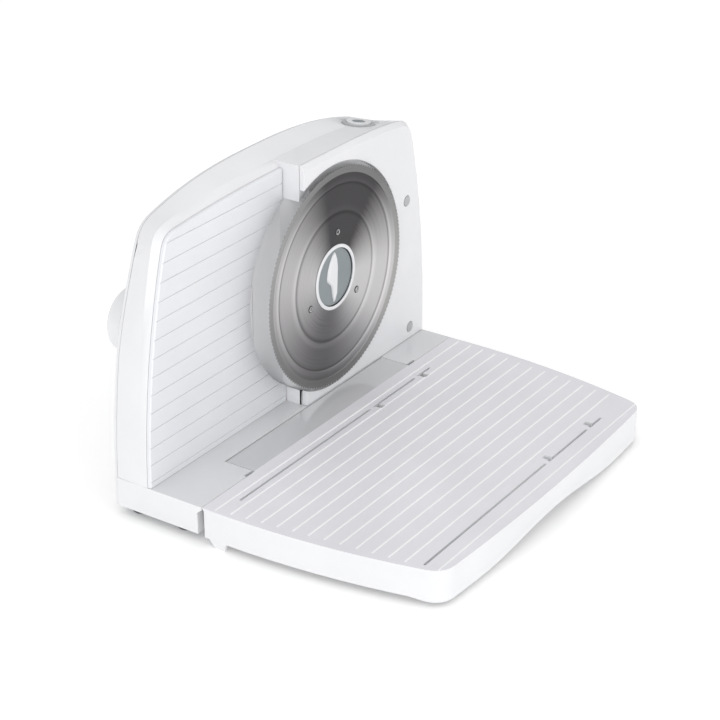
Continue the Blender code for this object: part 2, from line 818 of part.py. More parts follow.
def screw_holes_rear():
    holes = []
    start = REAR_DEPTH - REAR_SCREW_LENGTH - SCREW_HOLE_SPARE
    for x, z in rear_screw_spots():
        holes.append(drum("hole", x, z, SCREW_RADIUS + GAP, start, REAR_DEPTH + FAR, 16))
    return together("rear_holes", holes)


def base_posts():
    posts = []
    bottom = BASE_BOTTOM + WALL + GAP
    for x, depth in bottom_screw_spots():
        top = TOP_Z - BITE if depth < BOX_DEPTH else TOP_Z + BACK_POST_RISE
        place = (x, at_depth(depth), bottom)
        posts.append(cylinder("base_post", BOSS_RADIUS, place, top - bottom, "Z", 16))
        if depth > BOX_DEPTH:
            reach = (x, math.copysign(HALF_WIDTH - WALL + BITE, x))
            depths = (depth - WALL / 2, depth + WALL / 2)
            posts.append(block("post_web", (min(reach), max(reach)), depths, (bottom, top)))
    return posts


def screw_holes_bottom():
    holes = []
    length = FAR + BASE_BOTTOM + BOTTOM_SCREW_LENGTH + SCREW_HOLE_SPARE
    for x, depth in bottom_screw_spots():
        place = (x, at_depth(depth), -FAR)
        holes.append(cylinder("hole", SCREW_RADIUS + GAP, place, length, "Z", 16))
    return together("bottom_holes", holes)


def tilted(made):
    """Turns a switch piece that is built upright to the slope of the top."""
    centre = Vector((SWITCH_X, at_depth(SWITCH_DEPTH), SWITCH_Z))
    turn = Matrix.Translation(centre) @ Matrix.Rotation(SWITCH_TILT, 4, "Y") @ Matrix.Translation(-centre)
    made.data.transform(turn)
    return made


def switch_drum(name, radius, low, high, segments=32):
    place = (SWITCH_X, at_depth(SWITCH_DEPTH), SWITCH_Z + low)
    return tilted(cylinder(name, radius, place, high - low, "Z", segments))


def plate_posts_x():
    return (KNOB_X - POST_LEFT, KNOB_X + POST_RIGHT)


def guide_x():
    return (KNOB_X - GUIDE_SPREAD, KNOB_X + GUIDE_SPREAD)


def plate_mechanism_holes():
    """Windows for the posts and blind sockets for guides and cam in the front wall."""
    wall_back = HOUSING_DEPTH + WALL + BITE
    socket = HOUSING_DEPTH + SOCKET_FLOOR
    holes = []
    for x in plate_posts_x():
        holes.append(drum("window", x, KNOB_Z, POST_RADIUS + 2 * GAP, HOUSING_DEPTH - FAR, wall_back, 16))
    for x in guide_x():
        holes.append(drum("socket", x, KNOB_Z, GUIDE_RADIUS + GAP, socket, wall_back, 16))
    holes.append(drum("cam_socket", KNOB_X, KNOB_Z, KNOB_SHAFT_RADIUS + GAP, socket, wall_back, 16))
    return together("mechanism_holes", holes)


def main_housing():
    made = plate_side_solid("main_housing", 0.0, 0.0, housing_rear_depth)
    past_rear = REAR_DEPTH + FAR
    add(made, motor_box_solid("motor_box", 0.0, 0.0), base_solid())
    cut(made, plate_side_solid("left_cavity", WALL, WALL, past_rear, FAR / 2))
    cut(made, motor_box_solid("right_cavity", WALL, WALL, FAR / 3))
    cut(made, base_cavity())
    add(made, chute_block(), housing_bosses(), *base_posts())
    seat_radius = BUSH_RADIUS + BUSH_WALL
    add(made, drum("bush_seat", BLADE_X, BLADE_Z, seat_radius, BOX_DEPTH + BITE, FRONT_SEAT_END, 30))
    shelf_x = (SWITCH_X - SHELF_HALF_WIDTH, SWITCH_X + SHELF_HALF_WIDTH)
    add(made, block("shelf", shelf_x, (BOX_DEPTH + BITE, SHELF_END_DEPTH), (SHELF_Z - SHELF_THICK, SHELF_Z)))
    cut(made, chute_passage(), table_recess(), hinge_bores(PIN_RADIUS + GAP), hinge_reliefs())
    cut(made, screw_holes_rear(), screw_holes_bottom(), plate_mechanism_holes())
    cut(made, drum("bush_bore", BLADE_X, BLADE_Z, BUSH_RADIUS + GAP, 0, FRONT_SEAT_END + BITE, 30))
    cut(made, switch_drum("switch_hole", RING_RADIUS + GAP, -FAR / 3, FAR / 3))
    cut(made, switch_drum("switch_recess", RECESS_RADIUS, -SWITCH_RECESS, FAR / 3, 30))
    return finish(made, white_gloss())


def vents():
    """Slots in the back over the motor."""
    made = []
    x_span = (WORM_X - VENT_HALF_WIDTH, WORM_X + VENT_HALF_WIDTH)
    for i in range(VENTS):
        z = VENT_LOW_Z + VENT_PITCH * i
        made.append(block("vent", x_span, (REAR_DEPTH - FAR / 3, REAR_DEPTH + FAR), (z, z + VENT_HEIGHT)))
    return together("vents", made)


def rear_cover():
    sections = [
        placed(full_outline(rear_half()), lambda z: rear_face_depth(z) - WALL),
        placed(full_outline(rear_half(REAR_EDGE)), rear_face_depth),
    ]
    made = loft("rear_cover", sections)
    seat_radius = BUSH_RADIUS + BUSH_WALL
    add(made, drum("bush_seat", BLADE_X, BLADE_Z, seat_radius, REAR_SEAT_START, REAR_DEPTH - BITE, 30))
    dial_seat_start = REAR_DEPTH - DIAL_SEAT_DEPTH
    add(made, drum("dial_seat", KNOB_X, KNOB_Z, DIAL_SEAT_RADIUS, dial_seat_start, REAR_DEPTH, 30))
    cut(made, chute_passage(), screw_holes_rear())
    bore = (REAR_SEAT_START - BITE, SPINDLE_END_DEPTH + 2 * BITE)
    cut(made, drum("bush_bore", BLADE_X, BLADE_Z, BUSH_RADIUS + GAP, bore[0], bore[1], 30))
    inside = REAR_SEAT_START
    cut(made, drum("shaft_hole", KNOB_X, KNOB_Z, KNOB_SHAFT_RADIUS + GAP, inside, REAR_DEPTH + FAR, 16))
    floor = REAR_DEPTH - SOCKET_COVER
    sockets = [drum("socket", x, KNOB_Z, GUIDE_RADIUS + GAP, inside, floor, 16) for x in guide_x()]
    cut(made, together("guide_sockets", sockets), vents())
    cut(made, drum("gland_hole", GLAND_X, GLAND_Z, GLAND_HOLE_RADIUS, inside, REAR_DEPTH + FAR, 16))
    return finish(made, white_gloss())


def bottom_cover():
    side = HALF_WIDTH - WALL - GAP
    step_x = TONGUE_HALF_WIDTH + RECESS_SIDE_GAP + WALL + GAP
    front = at_depth(EAR_DEPTH + WALL + GAP)
    step = at_depth(RECESS_DEPTH + WALL + GAP)
    rear = at_depth(REAR_DEPTH - WALL - GAP)
    outline = [
        (-side, front),
        (-step_x, front),
        (-step_x, step),
        (step_x, step),
        (step_x, front),
        (side, front),
        (side, rear),
        (-side, rear),
    ]
    made = outline_solid("bottom_cover", [outline], BASE_BOTTOM, BASE_BOTTOM + WALL, "Z")
    cut(made, screw_holes_bottom())
    holes = []
    for x, depth in base_feet_spots():
        holes.append(cylinder("foot_hole", FOOT_STEM_RADIUS, (x, at_depth(depth), -FAR), 2 * FAR, "Z", 16))
    cut(made, together("foot_holes", holes))
    return finish(made, grey_plastic())


def base_feet_spots():
    return [(side * BASE_FOOT_X, depth) for side in (-1, 1) for depth in BASE_FOOT_DEPTHS]


def foot(name, x, depth, under, stem):
    """Rubber foot that plugs into a hole above it."""
    profile = [
        (0, 0),
        (FOOT_RADIUS - FOOT_EDGE, 0),
        (FOOT_RADIUS, FOOT_EDGE),
        (FOOT_RADIUS, under - GAP),
        (FOOT_STEM_RADIUS - GAP, under - GAP),
        (FOOT_STEM_RADIUS - GAP, under + stem),
        (0, under + stem),
    ]
    return turned(name, profile, (x, at_depth(depth), 0), "Z", 16)


def base_feet():
    for i, (x, depth) in enumerate(base_feet_spots(), 1):
        finish(foot(f"base_foot_{i}", x, depth, BASE_BOTTOM, BASE_FOOT_STEM), black_rubber())


def screw(name, centre, axis, length, sign):
    """Pan head screw whose head sits at the centre, shank running off by sign."""
    profile = [
        (0, -SCREW_HEAD_HEIGHT * sign),
        (SCREW_HEAD_RADIUS - SCREW_HEAD_EDGE, -SCREW_HEAD_HEIGHT * sign),
        (SCREW_HEAD_RADIUS, (SCREW_HEAD_EDGE - SCREW_HEAD_HEIGHT) * sign),
        (SCREW_HEAD_RADIUS, 0),
        (SCREW_RADIUS, 0),
        (SCREW_RADIUS, length * sign),
        (0, length * sign),
    ]
    return turned(name, profile, centre, axis, 12)


def rear_cover_screws():
    for i, (x, z) in enumerate(rear_screw_spots(), 1):
        proud = rear_face_depth(z - SCREW_HEAD_RADIUS) + GAP
        finish(screw(f"rear_screw_{i}", (x, at_depth(proud), z), "Y", REAR_SCREW_LENGTH, -1), zinc())


def bottom_cover_screws():
    for i, (x, depth) in enumerate(bottom_screw_spots(), 1):
        place = (x, at_depth(depth), BASE_BOTTOM - GAP)
        finish(screw(f"bottom_screw_{i}", place, "Z", BOTTOM_SCREW_LENGTH, 1), zinc())


def blade_cover():
    sections = [
        placed(full_outline(cover_front_half()), COVER_DEPTH),
        placed(full_outline(cover_back_half(COVER_EDGE)), BOX_DEPTH - BITE),
        placed(full_outline(cover_back_half()), BOX_DEPTH - GAP),
    ]
    made = loft("blade_cover", sections)
    cut(made, block("left_half", (-WIDE, 0), (-FAR, FAR), ALL_HEIGHTS))
    cut(made, block("under", (-WIDE, WIDE), (-FAR, FAR), (-FAR, TOP_Z + GAP)))
    cut(made, drum("blade_hole", BLADE_X, BLADE_Z, COVER_HOLE_RADIUS, -FAR, FAR, 96))
    plugs = [
        drum("plug_hole", x, z, PLUG_RADIUS + GAP, -FAR, COVER_DEPTH + PLUG_DEPTH, 16) for x, z in PLUG_SPOTS
    ]
    cut(made, together("plug_holes", plugs))
    return finish(made, white_gloss())


def cover_plugs():
    back = COVER_DEPTH + PLUG_DEPTH - GAP
    for i, (x, z) in enumerate(PLUG_SPOTS, 1):
        finish(drum(f"cover_plug_{i}", x, z, PLUG_RADIUS, COVER_DEPTH - PLUG_PROUD, back, 16), grey_plastic())


# Thickness plate and its adjuster


def plate_front():
    return HOUSING_DEPTH - GAP - PLATE_THICK


def plate_grooves():
    grooves = []
    front = plate_front()
    for i in range(int((PLATE_TOP_RIB_Z - TOP_Z) / PLATE_RIB_PITCH) + 1):
        z = PLATE_TOP_RIB_Z - PLATE_RIB_PITCH * i
        depths = (front - BITE, front + GROOVE_CUT)
        grooves.append(block("groove", (-WIDE, WIDE), depths, (z - GROOVE_HALF, z + GROOVE_HALF)))
    return together("plate_grooves", grooves)


def thickness_plate():
    back = HOUSING_DEPTH - GAP
    sections = [
        placed(full_outline(plate_side_half(PLATE_IN + PLATE_BEVEL)), plate_front()),
        placed(full_outline(plate_side_half(PLATE_IN)), plate_front() + PLATE_THICK / 3),
        placed(full_outline(plate_side_half(PLATE_IN)), back),
    ]
    made = loft("thickness_plate", sections)
    cut(made, block("right_half", (PLATE_EDGE_X, WIDE), (-FAR, REAR_DEPTH), ALL_HEIGHTS))
    cut(made, block("under", (-WIDE, WIDE), (-FAR, REAR_DEPTH), (-FAR, TOP_Z + GAP)))
    cut(made, drum("arc", CHUTE_X, CHUTE_Z, CHUTE_RADIUS - PLATE_ARC_GAP, -FAR, REAR_DEPTH, 96))
    cut(made, plate_grooves())
    sockets = []
    for x in plate_posts_x():
        socket_end = back - SPIGOT_LENGTH - GAP
        sockets.append(drum("socket", x, KNOB_Z, POST_RADIUS - BITE + GAP, socket_end, back + BITE, 16))
    cut(made, together("post_sockets", sockets))
    return finish(pivot(made, (0, at_depth(back), TOP_Z)), white_satin())


def carrier_middle_depth():
    return CARRIER_REAR_DEPTH - CARRIER_THICK / 2


def plate_carrier():
    front = CARRIER_REAR_DEPTH - CARRIER_THICK
    left, right = plate_posts_x()
    low, high = KNOB_Z - CARRIER_HALF_HEIGHT, KNOB_Z + CARRIER_HALF_HEIGHT
    span = (left - POST_RADIUS - BITE, right + POST_RADIUS + BITE)
    made = block("plate_carrier", span, (front, CARRIER_REAR_DEPTH), (low, high))
    hub = drum("hub", KNOB_X, KNOB_Z, CARRIER_HUB_RADIUS, front, CARRIER_REAR_DEPTH, 30)
    spigot = HOUSING_DEPTH - GAP - SPIGOT_LENGTH
    shoulder = HOUSING_DEPTH + GAP
    posts = []
    for x in (left, right):
        posts.append(drum("post", x, KNOB_Z, POST_RADIUS, shoulder, front + BITE, 16))
    spigots = [drum("spigot", x, KNOB_Z, POST_RADIUS - BITE, spigot, front, 16) for x in (left, right)]
    add(made, hub, together("posts", posts), together("spigots", spigots))
    cut(made, drum("cam_hole", KNOB_X, KNOB_Z, CAM_RADIUS + BITE, front - FAR, REAR_DEPTH, 30))
    guide_bore = GUIDE_RADIUS + GAP
    guides = [drum("guide_hole", x, KNOB_Z, guide_bore, front - BITE, REAR_DEPTH, 16) for x in guide_x()]
    cut(made, together("guide_holes", guides))
    pin_place = (KNOB_X, at_depth(carrier_middle_depth()), KNOB_Z)
    cut(made, cylinder("pin_hole", FOLLOWER_RADIUS + GAP, pin_place, FAR, "Z", 16))
    return finish(pivot(made, (KNOB_X, at_depth(CARRIER_REAR_DEPTH), KNOB_Z)), natural_nylon())


def follower_pin():
    """Pin in the carrier whose tip rides in the groove of the cam."""
    start = (KNOB_X, at_depth(carrier_middle_depth()), KNOB_Z + CAM_RADIUS - FOLLOWER_REACH)
    length = CARRIER_HUB_RADIUS - CAM_RADIUS + FOLLOWER_REACH - GAP
    made = cylinder("follower_pin", FOLLOWER_RADIUS, start, length, "Z", 16)
    return finish(pivot(made, (KNOB_X, at_depth(carrier_middle_depth()), KNOB_Z)), steel())


def guide_rod(name, x):
    front = HOUSING_DEPTH + SOCKET_FLOOR + GAP
    made = drum(name, x, KNOB_Z, GUIDE_RADIUS, front, REAR_DEPTH - SOCKET_COVER - GAP, 16)
    return finish(made, steel())


def cam_barrel():
    """Barrel with a helical groove that drives the plate in and out."""
    start = HOUSING_DEPTH + WALL + GAP
    made = drum("cam_barrel", KNOB_X, KNOB_Z, CAM_RADIUS, start, CAM_END_DEPTH, 36)
    socket = HOUSING_DEPTH + SOCKET_FLOOR + GAP
    stub = drum("stub", KNOB_X, KNOB_Z, KNOB_SHAFT_RADIUS, socket, start + BITE, 16)
    shaft_end = REAR_DEPTH + KNOB_SHAFT_PROUD
    shaft = drum("shaft", KNOB_X, KNOB_Z, KNOB_SHAFT_RADIUS, CAM_END_DEPTH - BITE, shaft_end, 16)
    add(made, stub, shaft)
    steps = 26
    extra = 1.0 / steps
    sections = []
    for i in range(-1, steps + 2):
        share = i * extra
        angle = -CAM_TURN * share
        depth = carrier_middle_depth() - PLATE_TRAVEL * share
        out = Vector((math.sin(angle), 0, math.cos(angle)))
        centre = Vector((KNOB_X, at_depth(depth), KNOB_Z)) + out * CAM_RADIUS
        ring = []
        for k in range(8):
            around = 2 * math.pi * (k + 0.5) / 8
            across = Vector((0, math.sin(around), 0)) + out * math.cos(around)
            ring.append(centre + across * GROOVE_RADIUS)
        sections.append(ring)
    cut(made, loft("cam_groove", sections))
    return finish(pivot(made, (KNOB_X, at_depth(REAR_DEPTH), KNOB_Z)), natural_nylon())


def thickness_knob():
    start = REAR_DEPTH + GAP
    end = start + KNOB_HEIGHT
    shoulder = start + KNOB_SKIRT + KNOB_STEP
    profile = [
        (0, start),
        (KNOB_RADIUS, start),
        (KNOB_RADIUS, start + KNOB_SKIRT),
        (KNOB_RADIUS - KNOB_STEP, shoulder),
        (KNOB_RADIUS - 1.75 * KNOB_STEP, end - KNOB_STEP),
        (KNOB_RADIUS - 2.75 * KNOB_STEP, end),
        (0, end),
    ]
    made = turned("thickness_knob", profile, (KNOB_X, BLADE_PLANE, KNOB_Z), "Y", 2 * KNOB_GRIPS)
    grips = []
    for i in range(KNOB_GRIPS):
        angle = 2 * math.pi * i / KNOB_GRIPS
        x = KNOB_X + math.cos(angle) * KNOB_RADIUS
        z = KNOB_Z + math.sin(angle) * KNOB_RADIUS
        grips.append(drum("grip", x, z, KNOB_GRIP_RADIUS, shoulder + 2 * GAP, end + BITE, 8))
    cut(made, together("knob_grips", grips))
    bore_end = REAR_DEPTH + KNOB_SHAFT_PROUD + 2 * GAP
    cut(made, drum("shaft_bore", KNOB_X, KNOB_Z, KNOB_SHAFT_RADIUS + GAP, REAR_DEPTH - FAR, bore_end, 16))
    return finish(pivot(made, (KNOB_X, at_depth(REAR_DEPTH), KNOB_Z)), white_gloss())


# Folding table


def table_outline(inset=0.0):
    """Table seen from above, seam edge first."""
    seam = at_depth(TABLE_WALL_DEPTH - inset)
    end_y = at_depth(TABLE_OUTER_DEPTH + TABLE_END_BOW + inset)
    corner_x = TABLE_OUTER_HALF_WIDTH - inset
    side = bowed((corner_x, end_y), (HALF_WIDTH - inset, seam), TABLE_SIDE_BOW, 10)
    outer = bowed((-corner_x, end_y), (corner_x, end_y), TABLE_END_BOW, 16)
    point = (corner_x, end_y)
    reach = TABLE_ROUND - inset
    corner = rounded(toward(point, outer[-2], reach), point, toward(point, side[1], reach), 5)
    right = corner + side[1:]
    left = [(-x, y) for x, y in right][::-1]
    return left + outer[1:-1] + right


def arch(count=16):
    """Wave under the table's outer edge, as (x, z)."""
    points = []
    half = TABLE_OUTER_HALF_WIDTH - ARCH_END
    for i in range(count + 1):
        t = -1 + 2 * i / count
        points.append((half * t, TABLE_BOTTOM + ARCH_HEIGHT * (0.5 + 0.5 * math.cos(math.pi * t))))
    return [(-half, -FAR)] + points + [(half, -FAR)]


def table_slots():
    """Slots that the food carriage runs along, each with two short catches."""
    slots = []
    catches = []
    z_span = (TOP_Z - TOP_SKIN - BITE, TOP_Z + FAR)
    half = SLOT_WIDTH / 2
    for depth, side in zip(SLOT_DEPTHS, (-1, 1)):
        depths = (depth - half, depth + half)
        start = SLOT_START_X
        for space in CATCH_SPACES:
            catch_x = SLOT_END_X - space
            slots.append(block("slot", (start, catch_x - BRIDGE_START), depths, z_span))
            ends = sorted((depth - side * half / 2, depth + side * CATCH_LENGTH))
            catch_span = (catch_x - CATCH_WIDTH / 2, catch_x + CATCH_WIDTH / 2)
            catches.append(block("catch", catch_span, (ends[0], ends[1]), z_span))
            start = catch_x - BRIDGE_END
        slots.append(block("slot", (start, SLOT_END_X), depths, z_span))
    return together("table_slots", slots), together("table_catches", catches)


def table_ribs():
    ribs = []
    room = FIRST_RIB_DEPTH - TABLE_OUTER_DEPTH - LAST_RIB_SPACE
    for i in range(int(room / RIB_PITCH) + 1):
        depth = FIRST_RIB_DEPTH - RIB_PITCH * i
        if abs(depth - SLOT_DEPTHS[1]) > RIB_PITCH / 2:
            share = (TABLE_EDGE_DEPTH - depth) / (TABLE_EDGE_DEPTH - TABLE_OUTER_DEPTH)
            half = HALF_WIDTH - (HALF_WIDTH - TABLE_OUTER_HALF_WIDTH) * share - RIB_END
            span = (depth - RIB_WIDTH / 2, depth + RIB_WIDTH / 2)
            ribs.append(block("rib", (-half, half), span, (TOP_Z - BITE, TOP_Z + RIB_HEIGHT)))
    return together("table_ribs", ribs)


def table_tongue():
    half = TONGUE_HALF_WIDTH
    z_span = (TOP_Z - TOP_SKIN, TOP_Z)
    return block("tongue", (-half, half), (TABLE_WALL_DEPTH - WALL - BITE, TONGUE_DEPTH), z_span)


def hinge_lugs():
    """Rounded ears under the tongue that turn on the pins."""
    lugs = []
    y = at_depth(HINGE_DEPTH)
    z = TOP_Z - HINGE_DROP
    steps = 8
    shape = [(y + LUG_RADIUS, TOP_Z - BITE), (y - LUG_RADIUS, TOP_Z - BITE)]
    for i in range(steps + 1):
        angle = math.pi + math.pi * i / steps
        shape.append((y + LUG_RADIUS * math.cos(angle), z + LUG_RADIUS * math.sin(angle)))
    for side in (-1, 1):
        outer = side * (TONGUE_HALF_WIDTH - BITE)
        inner = side * (TONGUE_HALF_WIDTH - BITE - LUG_WIDTH)
        lugs.append(outline_solid("lug", [shape], min(inner, outer), max(inner, outer), "X"))
    return together("hinge_lugs", lugs)


def seam_lip(side):
    """Bevelled edge of the table beside the tongue."""
    inner, outer = side * (TONGUE_HALF_WIDTH - BITE), side * HALF_WIDTH
    profile = [
        (at_depth(TABLE_EDGE_DEPTH), TOP_Z),
        (at_depth(TABLE_WALL_DEPTH - BITE), TOP_Z),
        (at_depth(TABLE_WALL_DEPTH - BITE), TOP_Z - TABLE_LIP),
        (at_depth(TABLE_WALL_DEPTH), TOP_Z - TABLE_LIP),
    ]
    return outline_solid("seam_lip", [profile], min(inner, outer), max(inner, outer), "X")


def table_under():
    """What is cut away under the side aprons, leaving a foot near the hinge."""
    outer = TABLE_OUTER_DEPTH - FAR
    inner = TABLE_WALL_DEPTH + FAR
    heel = TABLE_WALL_DEPTH - HEEL_SPACE
    apron = TABLE_BOTTOM + APRON_RISE
    profile = [
        (outer, -FAR),
        (inner, -FAR),
        (inner, apron),
        (heel + HEEL_SLOPE, apron),
        (heel, 0),
        (heel - HEEL_WIDTH, 0),
        (heel - HEEL_WIDTH - BITE, apron),
        (TABLE_OUTER_DEPTH + APRON_TURN, apron),
        (TABLE_OUTER_DEPTH + APRON_FLAT, TABLE_BOTTOM),
        (outer, TABLE_BOTTOM),
    ]
    return outline_solid("table_under", [[(at_depth(depth), z) for depth, z in profile]], -WIDE, WIDE, "X")


def table_foot_stubs(name, radius, low, high):
    """One cylinder for each foot under the table's outer edge."""
    stubs = []
    for side in (-1, 1):
        place = (side * TABLE_FOOT_X, at_depth(TABLE_FOOT_DEPTH), low)
        stubs.append(cylinder(name, radius, place, high - low, "Z", 16))
    return together(name + "s", stubs)


def folding_table():
    made = outline_solid("folding_table", [table_outline()], 0, TOP_Z, "Z")
    cut(made, outline_solid("table_inside", [table_outline(WALL)], -FAR, TOP_Z - TOP_SKIN, "Z"))
    outer = at_depth(TABLE_OUTER_DEPTH)
    cut(made, table_under(), outline_solid("table_arch", [arch()], outer - BITE, outer + ARCH_REACH, "Y"))
    add(made, table_tongue(), seam_lip(-1), seam_lip(1), hinge_lugs(), table_ribs())
    add(made, table_foot_stubs("foot_seat", FOOT_RADIUS - BITE, TABLE_BOTTOM, TOP_Z - BITE))
    cut(made, table_foot_stubs("foot_hole", FOOT_STEM_RADIUS, 0, TABLE_BOTTOM + TABLE_FOOT_STEM + GAP))
    cut(made, *table_slots(), hinge_bores(PIN_RADIUS + GAP))
    return finish(pivot(made, (0, at_depth(HINGE_DEPTH), TOP_Z - HINGE_DROP)), white_gloss())


def table_feet():
    for i, side in enumerate((-1, 1), 1):
        made = foot(f"table_foot_{i}", side * TABLE_FOOT_X, TABLE_FOOT_DEPTH, TABLE_BOTTOM, TABLE_FOOT_STEM)
        finish(pivot(made, (0, at_depth(HINGE_DEPTH), TOP_Z - HINGE_DROP)), black_rubber())


def hinge_pin(name, side):
    start = side * (TONGUE_HALF_WIDTH - PIN_INNER) - (PIN_LENGTH if side < 0 else 0)
    place = (start, at_depth(HINGE_DEPTH), TOP_Z - HINGE_DROP)
    return finish(cylinder(name, PIN_RADIUS, place, PIN_LENGTH, "X", 16), steel())


# Blade and drive


def scalloped(made):
    """Draws every other corner of the blade's edge in, which makes its teeth."""
    for vertex in made.data.vertices:
        x, z = vertex.co.x - BLADE_X, vertex.co.z - BLADE_Z
        if math.hypot(x, z) > BLADE_RADIUS - TOOTH_DEPTH / 2:
            if round(math.atan2(z, x) / (math.pi / TEETH)) % 2:
                shrink = 1 - TOOTH_DEPTH / BLADE_RADIUS
                vertex.co.x, vertex.co.z = BLADE_X + x * shrink, BLADE_Z + z * shrink
    return made


def blade():
    bore = LOCK_RADIUS + GAP
    profile = [
        (bore, DISH_DEPTH),
        (FLAT_RADIUS, DISH_DEPTH),
        (DISH_RADIUS, DISH_EDGE_DEPTH),
        (BEVEL_RADIUS, BEVEL_EDGE_DEPTH),
        (BLADE_RADIUS, 0),
        (BLADE_RADIUS, RIM_THICK),
        (BEVEL_RADIUS, BEVEL_EDGE_DEPTH + BLADE_THICK),
        (DISH_RADIUS, DISH_EDGE_DEPTH + BLADE_THICK),
        (FLAT_RADIUS, DISH_DEPTH + BLADE_THICK),
        (bore, DISH_DEPTH + BLADE_THICK),
    ]
    made = scalloped(turned("blade", profile, (BLADE_X, BLADE_PLANE, BLADE_Z), "Y", 2 * TEETH))
    cut(made, rivet_holes())
    return finish(pivot(made, (BLADE_X, BLADE_PLANE, BLADE_Z)), steel(), 12)


def rivet_spots():
    spots = []
    for i in range(RIVETS):
        angle = RIVET_ANGLE + 2 * math.pi * i / RIVETS
        spots.append((BLADE_X + RIVET_CIRCLE * math.cos(angle), BLADE_Z + RIVET_CIRCLE * math.sin(angle)))
    return spots


def rivet_holes():
    holes = [drum("rivet_hole", x, z, RIVET_RADIUS + GAP, -FAR, FAR, 16) for x, z in rivet_spots()]
    return together("rivet_holes", holes)


def blade_rivets():
    front = DISH_DEPTH - RIVET_HEAD_RISE
    seat = DISH_DEPTH - GAP / 3
    profile = [
        (0, front),
        (RIVET_HEAD_RADIUS, front + RIVET_DISH),
        (RIVET_HEAD_RADIUS, seat),
        (RIVET_RADIUS, seat),
        (RIVET_RADIUS, HUB_BACK - BITE),
        (0, HUB_BACK - BITE),
    ]
    for i, (x, z) in enumerate(rivet_spots(), 1):
        made = turned(f"blade_rivet_{i}", profile, (x, BLADE_PLANE, z), "Y", 12)
        finish(pivot(made, (BLADE_X, BLADE_PLANE, BLADE_Z)), steel())


def drive_hub():
    """Disc behind the blade, riveted to it and seated on the spindle."""
    made = drum("drive_hub", BLADE_X, BLADE_Z, RIVET_CIRCLE + HUB_EDGE, HUB_FRONT, HUB_BACK, 36)
    pocket = LOCK_DEPTH + LOCK_THICK + GAP
    cut(made, drum("lock_pocket", BLADE_X, BLADE_Z, LOCK_RADIUS + GAP, -FAR, pocket, 36))
    cut(made, drum("spindle_bore", BLADE_X, BLADE_Z, SPINDLE_RADIUS + GAP, -FAR, FAR, 24))
    cut(made, rivet_holes())
    return finish(pivot(made, (BLADE_X, BLADE_PLANE, BLADE_Z)), natural_nylon())


def spindle_front():
    return LOCK_DEPTH + LOCK_THICK + GAP


def spindle():
    bore_end = spindle_front() + LOCK_STUB_LENGTH + GAP
    made = drum("spindle", BLADE_X, BLADE_Z, SPINDLE_RADIUS, spindle_front(), SPINDLE_END_DEPTH, 24)
    cut(made, drum("lock_bore", BLADE_X, BLADE_Z, LOCK_STUB_RADIUS + GAP, -FAR, bore_end, 16))
    return finish(pivot(made, (BLADE_X, BLADE_PLANE, BLADE_Z)), steel())


def lock_bezel():
    """Ring around the blade lock."""
    back = DISH_DEPTH - GAP
    profile = [
        (LOCK_RADIUS + GAP, back),
        (LOCK_RADIUS + GAP, BEZEL_DEPTH + BEZEL_ROUND),
        (LOCK_RADIUS + BEZEL_WIDTH / 2, BEZEL_DEPTH),
        (LOCK_RADIUS + BEZEL_WIDTH, BEZEL_DEPTH + BEZEL_ROUND),
        (LOCK_RADIUS + BEZEL_WIDTH, back),
    ]
    made = turned("lock_bezel", profile, (BLADE_X, BLADE_PLANE, BLADE_Z), "Y", 36)
    return finish(pivot(made, (BLADE_X, BLADE_PLANE, BLADE_Z)), white_gloss())


def wing_outline():
    """Leaf-shaped grip across the lock, as shares of its radius from its centre."""
    right = [(0.0, 0.92), (0.11, 0.68), (0.16, 0.36), (0.14, 0.0), (0.12, -0.36), (0.10, -0.63)]
    left = [(-0.08, -0.91), (-0.14, -0.68), (-0.18, -0.40), (-0.23, -0.25), (-0.42, -0.07)]
    upper = [(-0.44, 0.05), (-0.39, 0.32), (-0.27, 0.59), (-0.13, 0.81)]
    return [(BLADE_X + x * LOCK_RADIUS, BLADE_Z + z * LOCK_RADIUS) for x, z in right + left + upper]


def lock_knob():
    disc_back = LOCK_DEPTH + LOCK_THICK
    made = drum("lock_knob", BLADE_X, BLADE_Z, LOCK_RADIUS, LOCK_DEPTH, disc_back, 36)
    grip_back = LOCK_DEPTH + LOCK_THICK / 2
    grip = outline_solid("grip", [wing_outline()], at_depth(LOCK_GRIP_DEPTH), at_depth(grip_back))
    stub_end = spindle_front() + LOCK_STUB_LENGTH
    stub = drum("stub", BLADE_X, BLADE_Z, LOCK_STUB_RADIUS, LOCK_DEPTH + BITE, stub_end, 16)
    add(made, grip, stub)
    return finish(pivot(made, (BLADE_X, BLADE_PLANE, BLADE_Z)), grey_plastic())


def bush(name, depth_from, depth_to):
    made = drum(name, BLADE_X, BLADE_Z, BUSH_RADIUS, depth_from, depth_to, 30)
    cut(made, drum("bore", BLADE_X, BLADE_Z, SPINDLE_RADIUS + GAP, depth_from - BITE, depth_to + BITE, 24))
    return finish(made, bronze())


def wheel_outline():
    """Toothed outline: each tooth's flanks, as shares of the module and the pitch."""
    outer = WHEEL_RADIUS + 0.85 * WHEEL_MODULE
    root = WHEEL_RADIUS - 1.1 * WHEEL_MODULE
    step = 2 * math.pi / WHEEL_TEETH
    points = []
    for i in range(WHEEL_TEETH):
        for radius, share in ((root, -0.31), (outer, -0.12), (outer, 0.12), (root, 0.31)):
            angle = step * (i + share)
            points.append((BLADE_X + radius * math.cos(angle), BLADE_Z + radius * math.sin(angle)))
    return points


